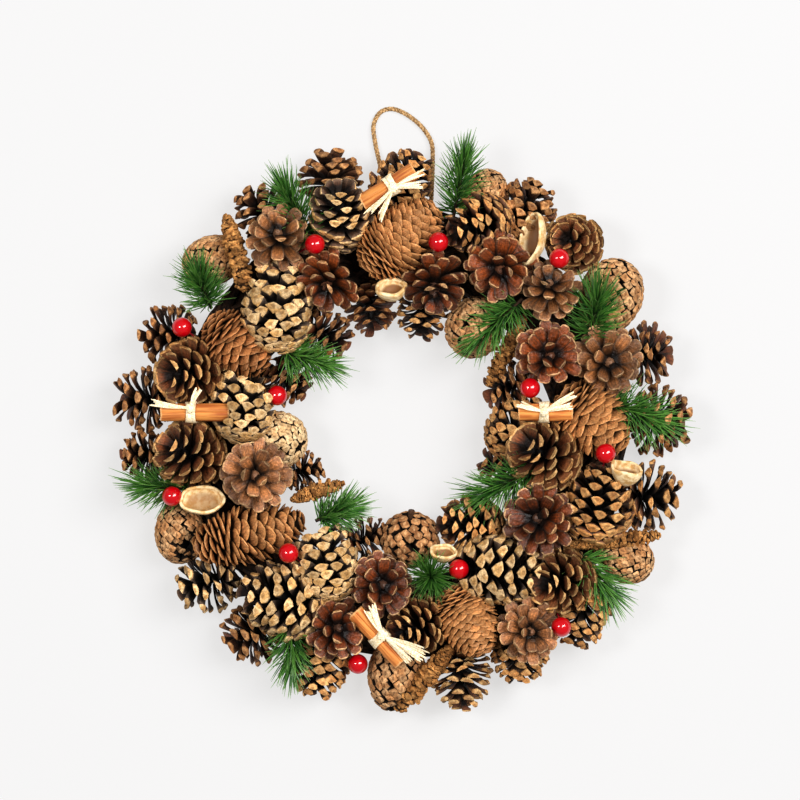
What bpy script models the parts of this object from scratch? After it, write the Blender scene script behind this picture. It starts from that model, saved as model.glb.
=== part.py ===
"""A pinecone wreath lying on its back: cones glued in bunches round a flat ring, with trimmings among them.

Lengths are in millimetres and angles in degrees, and a mesh is scaled to metres when it is made.
+X runs to the wreath's right, +Y to its top, where the hanging loop is, and +Z out of its face.
"""

import itertools
import math
from dataclasses import dataclass
from enum import Enum

import bmesh
import bpy
import numpy as np

MM = 0.001
GAP = 0.34
FLOOR = 1.0
UP = np.array((0.0, 0.0, 1.0))

RING_RADIUS = 118.0
RING_PROFILE = ((-18, 0), (18, 0), (22, 8), (15, 22), (0, 26), (-15, 22), (-22, 8))
RING_SEGMENTS = 24

BERRY_RADIUS = 6.25
BERRY_SIDES = 8
BERRY_ROWS = 5
WIRE_RADIUS = 0.7
WIRE_SIDES = 3
STICK_HALF_WIDTH = 5.5
STICK_HALF_HEIGHT = 4.5
STICK_SIDES = 14
BAND_HALF_LENGTH = 3.5
BAND_CLEAR = 0.4
BAND_THICKNESS = 1.3
BAND_SIDES = 8
KNOT_RADIUS = 3.2
STRAND_THICKNESS = 0.9
POD_WALL = 1.9
POD_SIDES = 9

LOOP_DIAMETER = 3.0
LOOP_POINTS = 22
LOOP_SLACK = 0.05

# The stalk of the closed cone at the hole's lower edge.
PEG = ((5, -63, 30), (5, -55.5, 34), (6, -48.5, 37))
PEG_RADIUS = 2.0
PEG_SIDES = 6

TIP_LIFT = 0.45
EDGE_LIFT = 0.05
EDGE_WIDTH = 0.64
LEAN = 1.5
CORE_SHARE = 0.165
THINNEST_CORE = 2.4
GLUE_RADIUS = 1.3
GLUE_SIDES = 3
GLUE_DEPTH = 0.45


class Tips(Enum):
    """What a scale ends in."""

    POINT = 0
    EDGE = 1


@dataclass(frozen=True)
class Relief:
    """Scales or needles on a slim core.

    Each triple gives a value at the base, halfway up and at the apex. The core and the tips are shares of the
    radius, and a tilt turns a scale from straight out towards the apex.
    """

    around: int
    rows: int
    core: tuple
    tips: tuple
    tilts: tuple
    ends: Tips = Tips.EDGE
    uneven: float = 0.07


class Form(Enum):
    """The kinds of cone, catkin and sprig on the wreath."""

    OPEN = Relief(6, 5, (0.34, 0.32, 0.20), (0.84, 1.00, 0.62), (-35, 5, 58))
    ROSETTE = Relief(7, 4, (0.34, 0.32, 0.18), (0.86, 1.00, 0.52), (-20, 12, 66))
    HALF_OPEN = Relief(6, 5, (0.72, 0.40, 0.22), (0.86, 1.00, 0.66), (-50, 5, 58))
    SMALL = Relief(5, 4, (0.40, 0.36, 0.22), (0.86, 1.00, 0.66), (-38, 5, 55))
    CLOSED = Relief(7, 5, (0.74, 0.80, 0.46), (0.90, 1.00, 0.62), (-52, 2, 56), Tips.POINT)
    SPRUCE = Relief(8, 7, (0.60, 0.76, 0.40), (0.84, 1.00, 0.56), (-42, 16, 62), Tips.POINT)
    CATKIN = Relief(4, 8, (0.60, 0.64, 0.42), (0.90, 1.00, 0.70), (-50, 8, 55), Tips.POINT)
    SPRIG = Relief(4, 10, (0.10, 0.09, 0.06), (0.80, 1.00, 0.92), (18, 38, 72), Tips.POINT, uneven=0.16)


@dataclass(frozen=True)
class Cone:
    """A cone by the middle of its axis, where its apex points, its length and its radius."""

    name: str
    middle: tuple
    azimuth: float
    lift: float
    length: float
    radius: float
    form: Form

    @property
    def axis(self):
        turn = math.radians(self.azimuth)
        rise = math.radians(self.lift)
        level = math.cos(rise)
        return np.array((level * math.cos(turn), level * math.sin(turn), math.sin(rise)))

    @property
    def ends(self):
        half = self.axis * self.length / 2
        return np.array(self.middle) - half, np.array(self.middle) + half


@dataclass
class BunchedCone:
    """A cone with its body and, once it is made, its shape and a point inside each of its scales."""

    cone: Cone
    body: object
    shape: tuple = ()
    inside: object = None

    def grow(self, seed):
        """Makes the shape within the body's planes."""
        cone = self.cone
        *self.shape, self.inside = scaled_core(cone.form.value, cone.ends, cone.radius, self.body.planes, seed)


@dataclass(frozen=True)
class Shoot:
    """A spruce cone, catkin or sprig by the two ends of its axis and its radius."""

    name: str
    ends: tuple
    radius: float
    form: Form


@dataclass(frozen=True)
class Stick:
    """A cinnamon stick by its ends, with the knot of its tie and where each strand of raffia ends."""

    ends: tuple
    knot: tuple
    strands: tuple


@dataclass(frozen=True)
class Berry:
    """A berry's middle, and where its wire stem ends, if it has one."""

    middle: tuple
    stem: tuple = ()


@dataclass(frozen=True)
class Pod:
    """An empty seed pod: a bowl whose mouth faces along an azimuth and a lift."""

    middle: tuple
    azimuth: float
    lift: float
    half_length: float
    half_width: float
    depth: float


# The bunches run anticlockwise from the wreath's right.
PINE_CONES = (
    (
        Cone("c11", (130, 83, 26), -110, -20, 46, 21.5, Form.CLOSED),
        Cone("c13", (91, 48, 50), 0, 85, 36, 23.5, Form.ROSETTE),
        Cone("c14", (127, 44, 46), 0, 80, 36, 24.5, Form.ROSETTE),
        Cone("c15", (154, 49, 24), 0, 20, 26, 22, Form.OPEN),
        Cone("c16", (162, 8, 22), -10, 0, 32, 25, Form.OPEN),
    ),
    (
        Cone("c05", (53, 151, 24), 70, -20, 30, 16, Form.CLOSED),
        Cone("c06", (46, 130, 46), 200, 35, 40, 20.5, Form.HALF_OPEN),
        Cone("c07", (77, 140, 28), 55, 0, 36, 22, Form.HALF_OPEN),
        Cone("c08", (61, 104, 48), -90, 75, 36, 24.5, Form.ROSETTE),
        Cone("c09", (108, 119, 32), 160, 70, 40, 20, Form.ROSETTE),
        Cone("c10", (92, 89, 51), 100, 65, 34, 20.5, Form.ROSETTE),
    ),
    (
        Cone("c12", (46, 68, 30), 70, -35, 36, 19.5, Form.CLOSED),
        Cone("c59", (-48, 61, 28), -30, 0, 30, 19, Form.SMALL),
        Cone("c61", (-20, 78, 28), -80, 20, 30, 18, Form.SMALL),
        Cone("c62", (20, 94, 48), -90, 50, 38, 22.5, Form.ROSETTE),
        Cone("c63", (13, 75, 26), -95, 5, 32, 18, Form.SMALL),
    ),
    (
        Cone("c01", (-45, 160, 24), 95, -15, 28, 23, Form.OPEN),
        Cone("c02", (-38, 137, 46), 95, 40, 40, 21.5, Form.HALF_OPEN),
        Cone("c03", (1, 157, 30), 60, 10, 40, 21, Form.HALF_OPEN),
        Cone("c54", (-78, 80, 46), 90, -15, 50, 24, Form.HALF_OPEN),
        Cone("c55", (-117, 109, 26), 20, 0, 36, 17, Form.CLOSED),
        Cone("c56", (-86, 138, 26), 135, -10, 36, 20, Form.OPEN),
        Cone("c57", (-77, 121, 50), 90, 70, 34, 23, Form.ROSETTE),
        Cone("c58", (-45, 96, 48), -120, 60, 38, 22.5, Form.ROSETTE),
    ),
    (
        Cone("c48", (-99, 21, 44), 90, -20, 46, 21.5, Form.HALF_OPEN),
        Cone("c49", (-132, 38, 42), 190, 50, 40, 24, Form.OPEN),
        Cone("c50", (-146, 61, 22), 185, -5, 32, 22.5, Form.OPEN),
        Cone("c51", (-162, 21, 22), 180, 0, 34, 22.5, Form.OPEN),
    ),
    (
        Cone("c45", (-92, -26, 52), 0, 85, 36, 24.5, Form.ROSETTE),
        Cone("c46", (-80, -4, 30), 170, -35, 34, 19.5, Form.CLOSED),
        Cone("c47", (-63, -24, 22), 10, 0, 26, 14.5, Form.SMALL),
        Cone("c52", (-132, -14, 42), 150, 45, 42, 24, Form.OPEN),
        Cone("c53", (-163, -14, 20), 185, 0, 26, 18.5, Form.SMALL),
        Cone("c60", (-70, 30, 22), -40, 0, 26, 15.5, Form.SMALL),
    ),
    (
        Cone("c39", (-42, -121, 48), 0, 75, 36, 22.5, Form.ROSETTE),
        Cone("c40", (-52, -148, 24), -100, 0, 34, 21.5, Form.HALF_OPEN),
        Cone("c41", (-140, -61, 22), 95, 0, 36, 17, Form.CLOSED),
        Cone("c42", (-122, -93, 24), 200, 0, 36, 21.5, Form.OPEN),
        Cone("c43", (-76, -104, 44), 170, 10, 46, 26.5, Form.HALF_OPEN),
        Cone("c44", (-94, -126, 22), 210, -5, 32, 22, Form.SMALL),
    ),
    (
        Cone("c31", (37, -152, 28), -90, 15, 38, 21, Form.OPEN),
        Cone("c33", (5, -69, 28), -90, -25, 30, 20, Form.CLOSED),
        Cone("c34", (-13, -94, 50), 0, 82, 36, 22.5, Form.ROSETTE),
        Cone("c35", (11, -120, 44), 200, 35, 40, 20.5, Form.OPEN),
        Cone("c36", (-4, -154, 24), -100, -5, 42, 19.5, Form.CLOSED),
        Cone("c37", (-23, -67, 24), 20, 0, 28, 15.5, Form.SMALL),
        Cone("c38", (-48, -79, 46), 100, -15, 44, 21.5, Form.HALF_OPEN),
    ),
    (
        Cone("c26", (61, -86, 46), -5, 5, 52, 24, Form.HALF_OPEN),
        Cone("c27", (100, -92, 44), 190, 50, 40, 23, Form.OPEN),
        Cone("c28", (78, -123, 48), 0, 80, 36, 22.5, Form.ROSETTE),
        Cone("c29", (112, -115, 28), -105, 0, 38, 19.5, Form.HALF_OPEN),
        Cone("c30", (74, -141, 24), -90, 0, 30, 20, Form.HALF_OPEN),
        Cone("c32", (42, -58, 32), 170, 20, 36, 20.5, Form.HALF_OPEN),
    ),
    (
        Cone("c18", (67, 29, 24), 200, 10, 30, 18, Form.SMALL),
        Cone("c19", (73, 5, 26), 60, 0, 38, 20.5, Form.HALF_OPEN),
        Cone("c20", (89, -14, 46), 150, 45, 44, 25, Form.OPEN),
        Cone("c21", (63, -21, 24), 160, 10, 28, 15.5, Form.SMALL),
        Cone("c22", (123, -43, 41), 78, 8, 44, 24, Form.HALF_OPEN),
        Cone("c23", (155, -40, 22), 0, 5, 34, 24, Form.OPEN),
        Cone("c24", (86, -54, 50), 150, 75, 36, 24.5, Form.ROSETTE),
        Cone("c25", (138, -77, 26), 150, -10, 36, 16.5, Form.CLOSED),
    ),
)

SPRUCE_CONES = (
    Shoot("s1", ((-24, 101, 46), (23, 142, 46)), 21.5, Form.SPRUCE),
    Shoot("s2", ((-121, 72, 44), (-84, 38, 44)), 19, Form.SPRUCE),
    Shoot("s3", ((99, 27, 44), (139, -11, 44)), 22, Form.SPRUCE),
    Shoot("s4", ((30, -95, 46), (52, -139, 46)), 19, Form.SPRUCE),
    Shoot("s5", ((-131, -72, 41.6), (-59, -54, 41.6)), 19, Form.SPRUCE),
)

SPRIGS = (
    Shoot("n1", ((32.5, 137, 38), (39, 170, 46)), 21.5, Form.SPRIG),
    Shoot("n2", ((-59, 123, 42), (-72, 150, 52)), 23.5, Form.SPRIG),
    Shoot("n3", ((118, 61, 44), (121, 83, 56)), 25, Form.SPRIG),
    Shoot("n4", ((-120, 80, 42), (-127, 97, 52)), 21.5, Form.SPRIG),
    Shoot("n5", ((-74, 51, 46), (-50, 43, 42)), 21.5, Form.SPRIG),
    Shoot("n6", ((72, 81, 46), (48, 59, 48)), 21.5, Form.SPRIG),
    Shoot("n7", ((131, 17.5, 43), (159, 7.5, 41)), 25, Form.SPRIG),
    Shoot("n8", ((83, -23, 44), (50, -39, 40)), 25, Form.SPRIG),
    Shoot("n9", ((112, -77, 44), (127, -98, 38)), 25, Form.SPRIG),
    Shoot("n10", ((18, -89, 40), (18, -89, 54)), 21.5, Form.SPRIG),
    Shoot("n11", ((-52, -54, 44), (-35, -47, 42)), 20.5, Form.SPRIG),
    Shoot("n12", ((-134, -35, 35), (-160, -33, 35)), 21.5, Form.SPRIG),
    Shoot("n13", ((-70, -120, 46), (-69, -145, 40)), 21.5, Form.SPRIG),
)

CATKINS = (
    Shoot("k1", ((-110, 137, 44), (-97, 87, 46)), 6.5, Form.CATKIN),
    Shoot("k2", ((77, 74, 40), (54, 29, 30)), 5.5, Form.CATKIN),
    Shoot("k3", ((104, -70, 46), (163, -64, 30)), 5, Form.CATKIN),
    Shoot("k4", ((31.8, -132.5, 43.8), (-3.7, -175, 26.8)), 6.5, Form.CATKIN),
    Shoot("k5", ((-70, -42, 44), (-36, -31, 40)), 5, Form.CATKIN),
)

BERRIES = (
    Berry((-54, 117.2, 60), (-66, 112, 42)),
    Berry((22.5, 118.4, 62), (27, 116, 46)),
    Berry((97.5, 108.4, 58), (98, 104, 44)),
    Berry((-137.2, 65.9, 46), (-126, 56, 36)),
    Berry((-77.8, 23.4, 48), (-83, 25, 36)),
    Berry((79.5, 28, 55.2), (82, 33, 38)),
    Berry((126.3, -12.5, 58.2), (125.5, -20.5, 44)),
    Berry((98.8, -120.3, 56), (97, -113, 42)),
    Berry((35.3, -84.4, 56), (33, -81, 42)),
    Berry((-27.6, -144.3, 42), (-31, -134, 30)),
    Berry((-143.4, -39.4, 46), (-138, -44, 34)),
    Berry((-70.3, -74.3, 60), (-63, -81, 43)),
)

STICKS = (
    Stick(
        ((-25, 142.5, 56.6), (8, 163, 56.6)),
        (-5.6, 152),
        ((-22, 134.5), (-14, 132), (14, 163), (14, 154)),
    ),
    Stick(((-150, 13, 56), (-107, 13, 56)), (-131, 15.6), ((-157, 19), (-126, 27.5))),
    Stick(((72, 13.2, 58), (106, 13, 58)), (88, 13.4), ((71, 18), (107, 24), (107, 18))),
    Stick(
        ((-29.4, -110.6, 59), (0, -142, 59)),
        (-12, -125),
        ((-23, -107.5), (-18, -105.6), (16, -135.6), (14, -140), (8, -144)),
    ),
)

PODS = (
    Pod((-6.2, 88.8, 53), 60, 60, 10, 10, 9),
    Pod((82.1, 121, 47.7), 162, 52, 15.5, 10, 10),
    Pod((139.5, -24.8, 50.7), 95, 55, 10.5, 10, 10),
    Pod((26, -75, 52), 90, 60, 8.5, 8.5, 8),
    Pod((-124.5, -42.5, 46), 90, 75, 14, 10, 9),
)

LOOP_ROUTE = (
    (-9, 139.4, 8),
    (-11, 155, 7),
    (-14, 170, 4.4),
    (-17, 184, 2.6),
    (-18, 195, 1.8),
    (-14, 203, 1.8),
    (-7, 205.5, 1.8),
    (1, 203, 1.8),
    (9, 197.5, 1.8),
    (15, 191, 1.8),
    (19, 183, 2.4),
    (19.5, 172, 4.2),
    (19, 156, 6.8),
    (18, 138.4, 8),
)


class Body:
    """A convex core that no neighbour enters: the hull of some balls, which scales may stand out of by a reach."""

    def __init__(self, node, centres, radii, reach=0.0):
        self.node = node
        self.centres = np.array(centres, float).reshape(-1, 3)
        self.radii = np.broadcast_to(np.array(radii, float), len(self.centres))
        self.reach = reach
        self.planes = [(-UP, -FLOOR, None)]
        self.middle = self.centres.mean(axis=0)
        self.span = float(np.max(np.linalg.norm(self.centres - self.middle, axis=1) + self.radii))

    def furthest(self, direction):
        """The point of the core that lies furthest along a direction."""
        index = int(np.argmax(self.centres @ direction + self.radii))
        return self.centres[index] + self.radii[index] * direction


def widest_gap(first, second):
    """The unit direction from the first core to the second that shows the widest gap, and that gap.

    A point of the difference of the two cores walks towards zero, each time along the line to the furthest
    point that lies its way.
    """
    point = first.middle - second.middle
    best_gap = -math.inf
    best = UP
    for _ in range(90):
        size = float(np.linalg.norm(point))
        if size < 1e-6:
            break
        normal = -point / size
        near = first.furthest(normal)
        far = second.furthest(-normal)
        gap = float((far - near) @ normal)
        if gap > best_gap:
            best_gap = gap
            best = normal
        if size - gap < 0.01:
            break
        step = near - far - point
        share = float(-(point @ step) / (step @ step))
        point = point + min(max(share, 0.0), 1.0) * step
    return best, best_gap


def divide(first, second):
    """Gives both bodies a plane that neither crosses, and returns the gap between their cores."""
    apart = float(np.linalg.norm(first.middle - second.middle))
    reaches = first.reach + second.reach
    if apart > first.span + second.span + reaches + GAP:
        return math.inf
    normal, gap = widest_gap(first, second)
    if gap > reaches + GAP:
        return gap
    share = first.reach / reaches if reaches else 0.5
    limit = float(first.furthest(normal) @ normal) + (gap - GAP) * share
    first.planes.append((normal, limit, second))
    second.planes.append((-normal, -limit - GAP, first))
    return gap


def keep_clear(points, anchors, planes):
    """Draws each point towards its anchor, which is behind every plane, until the point is too."""
    for normal, limit, _ in planes:
        ahead = points @ normal - limit
        behind = limit - anchors @ normal
        share = np.where(ahead > 0, behind / np.maximum(behind + ahead, 1e-9), 1.0)
        points = anchors + share[:, None] * (points - anchors)
    return points


def across(axis):
    """Two unit directions square to the axis and to each other."""
    helper = UP if abs(axis[2]) < 0.9 else np.array((1.0, 0.0, 0.0))
    side = np.cross(helper, axis)
    side /= np.linalg.norm(side)
    return side, np.cross(axis, side)


def scaled_core(relief, ends, radius, planes, seed):
    """Points and faces of a core covered with scales in spiral rows, and a point inside each scale.

    Every point lies on a ray from the axis: ray = middle of the axis at a height, plus a reach along the
    outward direction turned by the tilt towards the apex. Heights and tilts only grow from base to apex, so
    the surface never crosses itself. Where four neighbouring core points make a diamond, a scale's tip stands
    out of it as a point or an edge.
    """
    draw = np.random.default_rng(seed)
    base, apex = np.array(ends[0], float), np.array(ends[1], float)
    length = float(np.linalg.norm(apex - base))
    axis = (apex - base) / length
    side, other = across(axis)
    around, rows = relief.around, relief.rows
    step = 2 * math.pi / around
    phase = draw.uniform(0, step)
    margin = min(0.5, 0.45 * radius * relief.core[1] / length + 0.06)

    def place(level, angle, reach, lean=0.0):
        """Points on rays: level counts the rows, and reach is a share of the radius."""
        height = (np.asarray(level, float) + 1) / (rows + 1)
        tilt = np.radians(np.interp(height, (0, 0.5, 1), relief.tilts) + lean)
        anchor = base + np.multiply.outer(length * (margin + height * (1 - 2 * margin)), axis)
        out = np.multiply.outer(np.cos(angle), side) + np.multiply.outer(np.sin(angle), other)
        ray = out * np.cos(tilt)[..., None] + axis * np.sin(tilt)[..., None]
        return anchor, anchor + ray * (np.asarray(reach) * radius)[..., None]

    row, turn = np.meshgrid(np.arange(rows), np.arange(around), indexing="ij")
    heights = (row + 1) / (rows + 1)
    core = np.interp(heights, (0, 0.5, 1), relief.core)
    anchors, points = place(row, phase + (turn + row / 2) * step, core)
    tip_level = row + (TIP_LIFT if relief.ends is Tips.POINT else EDGE_LIFT)
    tip_height = (tip_level + 1) / (rows + 1)
    tip_angle = phase + (turn + (row + 1) / 2) * step
    tip_reach = np.interp(tip_height, (0, 0.5, 1), relief.tips)
    tip_reach = tip_reach * (1 + relief.uneven * draw.uniform(-1, 1, row.shape))
    lean = draw.uniform(-LEAN, LEAN, row.shape)
    half = EDGE_WIDTH * step / 2
    sideways = (0,) if relief.ends is Tips.POINT else (-half, half)
    parts = [(anchors, points)]
    parts += [place(tip_level, tip_angle + offset, tip_reach, lean) for offset in sideways]
    poles = np.array((base, apex))
    all_anchors = np.concatenate([part[0].reshape(-1, 3) for part in parts] + [(poles + np.array(base + apex)) / 3])
    all_points = np.concatenate([part[1].reshape(-1, 3) for part in parts] + [poles])
    cells = rows * around
    pole = cells * len(parts)
    faces = []
    for r, k in itertools.product(range(rows), range(around)):
        left = r * around + k
        right = r * around + (k + 1) % around
        top = (r + 1) * around + k if r + 1 < rows else pole + 1
        bottom = (r - 1) * around + (k + 1) % around if r else pole
        tip = cells + left
        if relief.ends is Tips.POINT:
            faces += [(bottom, right, tip), (right, top, tip), (top, left, tip), (left, bottom, tip)]
            continue
        tip_right = tip + cells
        faces += [(bottom, right, tip_right), (bottom, tip_right, tip), (bottom, tip, left)]
        faces += [(top, left, tip), (top, tip, tip_right), (top, tip_right, right)]
    clear = keep_clear(all_points, all_anchors, planes)
    roots = clear[:cells].reshape(rows, around, 3)
    roots = (roots + np.roll(roots, -1, axis=1)) / 2
    tips = clear[cells:pole].reshape(len(sideways), rows, around, 3).mean(axis=0)
    inside = roots + GLUE_DEPTH * (tips - roots)
    return clear, faces, inside.reshape(-1, 3)


def core_body(node, ends, radius, form):
    """The slim core of a cone, catkin or sprig, with the reach of its scales."""
    relief = form.value
    core = max(CORE_SHARE * radius, THINNEST_CORE)
    if form is Form.SPRIG:
        core = 1.7
    first, last = np.array(ends[0], float), np.array(ends[1], float)
    axis = (last - first) / np.linalg.norm(last - first)
    return Body(node, (first + core * axis, last - core * axis), core, radius * max(relief.tips) * 1.1 - core)


def mesh_of(name, points, faces):
    mesh = bpy.data.meshes.new(name)
    mesh.from_pydata((np.asarray(points) * MM).tolist(), [], [list(face) for face in faces])
    mesh.validate()
    return mesh


def tube(points, radius, sides):
    """Points and faces of a straight-sided tube with flat ends along some points."""
    points = np.array(points, float)
    rings = []
    for index, point in enumerate(points):
        axis = points[min(index + 1, len(points) - 1)] - points[max(index - 1, 0)]
        side, other = across(axis / np.linalg.norm(axis))
        angles = 2 * math.pi * np.arange(sides) / sides
        rings.append(point + radius * (np.outer(np.cos(angles), side) + np.outer(np.sin(angles), other)))
    return np.concatenate(rings), loft_faces(len(rings), sides)


def loft_faces(rings, sides, closed=False):
    """Faces over rings of points that turn anticlockwise about the way they go on, with or without flat ends."""
    faces = []
    for r in range(rings if closed else rings - 1):
        low, high = r * sides, (r + 1) % rings * sides
        for k in range(sides):
            after = (k + 1) % sides
            faces.append((low + k, low + after, high + after, high + k))
    if not closed:
        faces.append(tuple(reversed(range(sides))))
        faces.append(tuple(range((rings - 1) * sides, rings * sides)))
    return faces


def material(name, colour, roughness):
    """A plain finish in a linear colour."""
    made = bpy.data.materials.new(name)
    made.use_nodes = True
    shader = made.node_tree.nodes["Principled BSDF"]
    shader.inputs["Base Color"].default_value = (*colour, 1.0)
    shader.inputs["Roughness"].default_value = roughness
    shader.inputs["Metallic"].default_value = 0.0
    return made


def add_object(name, data, finish):
    """An object in the scene with one finish."""
    made = bpy.data.objects.new(name, data)
    made.data.materials.clear()
    made.data.materials.append(finish)
    bpy.context.scene.collection.objects.link(made)
    return made


def fuse(name, shapes, finish):
    """One object from several closed shapes that cross each other, by one Boolean union."""
    meshes = [mesh_of(name, *shape) for shape in shapes]
    body = add_object(name, meshes[0], finish)
    if len(meshes) == 1:
        return body
    repeats = bpy.data.collections.new(name + "_repeats")
    for mesh in meshes[1:]:
        repeats.objects.link(bpy.data.objects.new(name, mesh))
    bpy.context.scene.collection.children.link(repeats)
    union = body.modifiers.new("union", "BOOLEAN")
    union.operation = "UNION"
    union.operand_type = "COLLECTION"
    union.collection = repeats
    union.solver = "EXACT"
    bpy.context.view_layer.update()
    fused = bpy.data.meshes.new_from_object(body.evaluated_get(bpy.context.evaluated_depsgraph_get()))
    body.modifiers.remove(union)
    body.data = fused
    body.data.materials.clear()
    body.data.materials.append(finish)
    for repeat in list(repeats.objects):
        bpy.data.objects.remove(repeat)
    bpy.data.collections.remove(repeats)
    return body


def shortest_glue(first, second):
    """The shortest straight drop of glue from inside a scale of one cone to inside a scale of another.

    It crosses the plane between the two cones, and keeps behind all their other planes, so that it meets
    nothing else. The result is its length and its two ends, or None.
    """
    shared = [plane for plane in first.body.planes if plane[2] is second.body]
    if not shared:
        return None
    normal, limit, _ = shared[0]
    starts, stops = free_points(first, second), free_points(second, first)
    if not (len(starts) and len(stops)):
        return None
    run = stops[None, :, :] - starts[:, None, :]
    share = (limit + GAP / 2 - starts @ normal)[:, None] / np.maximum(run @ normal, 1e-9)
    crossing = starts[:, None, :] + share[..., None] * run
    free = margin(crossing, first, second) & margin(crossing, second, first)
    length = np.where(free, np.linalg.norm(run, axis=2), math.inf)
    best = np.unravel_index(int(np.argmin(length)), length.shape)
    if not free[best]:
        return None
    return float(length[best]), starts[best[0]], stops[best[1]]


def margin(points, piece, partner):
    """Which points are behind every plane of a cone, apart from the one to its partner, by the glue's radius."""
    clear = np.full(points.shape[:-1], True)
    for normal, limit, other in piece.body.planes:
        if other is not partner.body:
            clear &= points @ normal < limit - GLUE_RADIUS
    return clear


def free_points(piece, partner):
    return piece.inside[margin(piece.inside, piece, partner)]


def glue_drops(node, pieces):
    """The shortest drops of glue that make one body of a bunch's cones, as in a spanning tree."""
    found = []
    for first, second in itertools.combinations(range(len(pieces)), 2):
        glue = shortest_glue(pieces[first], pieces[second])
        if glue:
            found.append((glue[0], first, second, glue[1:]))
    joined = list(range(len(pieces)))
    kept = []
    for _, first, second, ends in sorted(found, key=lambda item: item[0]):
        if joined[first] != joined[second]:
            old = joined[second]
            joined = [joined[first] if part == old else part for part in joined]
            kept.append(ends)
    if len(set(joined)) > 1:
        raise ValueError(f"{node} falls apart: {[piece.cone.name for piece in pieces]} in {joined}")
    return kept


def ring_bodies():
    """The ring as convex blocks from one cross-section to the next."""
    angles = 2 * math.pi * np.arange(RING_SEGMENTS + 1) / RING_SEGMENTS
    profile = np.array(RING_PROFILE, float) + (RING_RADIUS, 0)
    sections = [
        np.stack((profile[:, 0] * math.cos(a), profile[:, 0] * math.sin(a), profile[:, 1]), axis=1) for a in angles
    ]
    return [Body("wreath_ring", np.concatenate(pair), 0.0) for pair in itertools.pairwise(sections)]


def smooth_route(points, count):
    """Evenly spaced points on a Catmull-Rom curve through a route's points."""
    route = np.array(points, float)
    padded = np.concatenate((2 * route[:1] - route[1:2], route, 2 * route[-1:] - route[-2:-1]))
    share = np.linspace(0, 1, 12, endpoint=False)[:, None]
    fine = []
    for a, b, c, d in zip(padded, padded[1:], padded[2:], padded[3:]):
        fine.append(
            0.5
            * (2 * b + (c - a) * share + (2 * a - 5 * b + 4 * c - d) * share**2 + (3 * b - a - 3 * c + d) * share**3)
        )
    fine = np.concatenate(fine + [route[-1:]])
    travelled = np.concatenate(([0], np.cumsum(np.linalg.norm(np.diff(fine, axis=0), axis=1))))
    wanted = np.linspace(0, travelled[-1], count)
    return np.stack([np.interp(wanted, travelled, fine[:, i]) for i in range(3)], axis=1)


def stick_outline():
    """The cross-section of a curled stick: an oval with a seam sunk in its top."""
    angles = 2 * math.pi * (np.arange(STICK_SIDES) + 0.5) / STICK_SIDES
    seam = 1 - 0.3 * np.exp(-((np.cos(angles) / 0.3) ** 2)) * (np.sin(angles) > 0)
    return np.stack((STICK_HALF_WIDTH * np.cos(angles), STICK_HALF_HEIGHT * np.sin(angles) * seam), axis=1)


def along(ends, outline, shares=(0.0, 1.0)):
    """Rings of a flat outline set square to a level line between two ends, its second number upwards."""
    first, last = np.array(ends[0], float), np.array(ends[1], float)
    axis = (last - first) / np.linalg.norm(last - first)
    side = np.cross(UP, axis)
    ring = np.outer(outline[:, 0], side) + np.outer(outline[:, 1], np.cross(axis, side))
    return [first + (last - first) * share + ring for share in shares]


def stick_shape(stick):
    rings = along(stick.ends, stick_outline())
    return np.concatenate(rings), loft_faces(2, STICK_SIDES)


def oval(half_width, half_height, sides):
    """The corners of a polygon that just holds an oval."""
    angles = 2 * math.pi * np.arange(sides) / sides
    spread = 1 / math.cos(math.pi / sides)
    return np.stack((half_width * np.cos(angles), half_height * np.sin(angles)), axis=1) * spread


def tie_shapes(stick):
    """A band of raffia round the stick, a knot on it and flat strands that run out of the knot."""
    ends = np.array(stick.ends, float)
    length = np.linalg.norm(ends[1] - ends[0])
    axis = (ends[1] - ends[0]) / length
    share = float((np.array((*stick.knot, ends[0, 2])) - ends[0]) @ axis) / length
    half = BAND_HALF_LENGTH / length
    inner = oval(STICK_HALF_WIDTH + BAND_CLEAR, STICK_HALF_HEIGHT + BAND_CLEAR, BAND_SIDES)
    outer = inner + BAND_THICKNESS * inner / np.linalg.norm(inner, axis=1)[:, None]
    sections = (
        along(stick.ends, outer, (share - half,)) + along(stick.ends, outer, (share + half,))
        + along(stick.ends, inner, (share + half,)) + along(stick.ends, inner, (share - half,))
    )
    band = (np.concatenate(sections), loft_faces(4, BAND_SIDES, closed=True))
    top = ends[0, 2] + float(outer[:, 1].max())
    knot = np.array((*stick.knot, top + 0.3))
    shapes = [band, knot_shape(knot)]
    for number, end in enumerate(stick.strands):
        shapes.append(strand_shape(knot, np.array((*end, top - 0.5)), 1.6 + 0.5 * (number % 2), 0.35 * number))
    return shapes


def knot_shape(middle):
    """A low lump: a coarse ball pressed flat."""
    lump = bmesh.new()
    bmesh.ops.create_icosphere(lump, subdivisions=1, radius=KNOT_RADIUS)
    points = np.array([vertex.co[:] for vertex in lump.verts]) * (1, 1, 0.62) + middle
    faces = [[vertex.index for vertex in face.verts] for face in lump.faces]
    lump.free()
    return points, faces


def strand_shape(start, stop, half_width, raised):
    """A flat strand of raffia that widens from the knot to its end."""
    run = stop - start
    side = np.cross(UP, run)
    side *= half_width / np.linalg.norm(side)
    thick = UP * STRAND_THICKNESS / 2
    rings = []
    for share, rise, wide in ((0.0, raised, 0.8), (1.0, 0.0, 1.25)):
        middle = start + run * share + UP * rise
        rings += [middle - side * wide - thick, middle + side * wide - thick]
        rings += [middle + side * wide + thick, middle - side * wide + thick]
    return np.array(rings), loft_faces(2, 4)


def ball_shape(middle, radius):
    ball = bmesh.new()
    bmesh.ops.create_uvsphere(ball, u_segments=BERRY_SIDES, v_segments=BERRY_ROWS, radius=radius)
    points = np.array([vertex.co[:] for vertex in ball.verts]) + middle
    faces = [[vertex.index for vertex in face.verts] for face in ball.faces]
    ball.free()
    return points, faces


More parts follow.
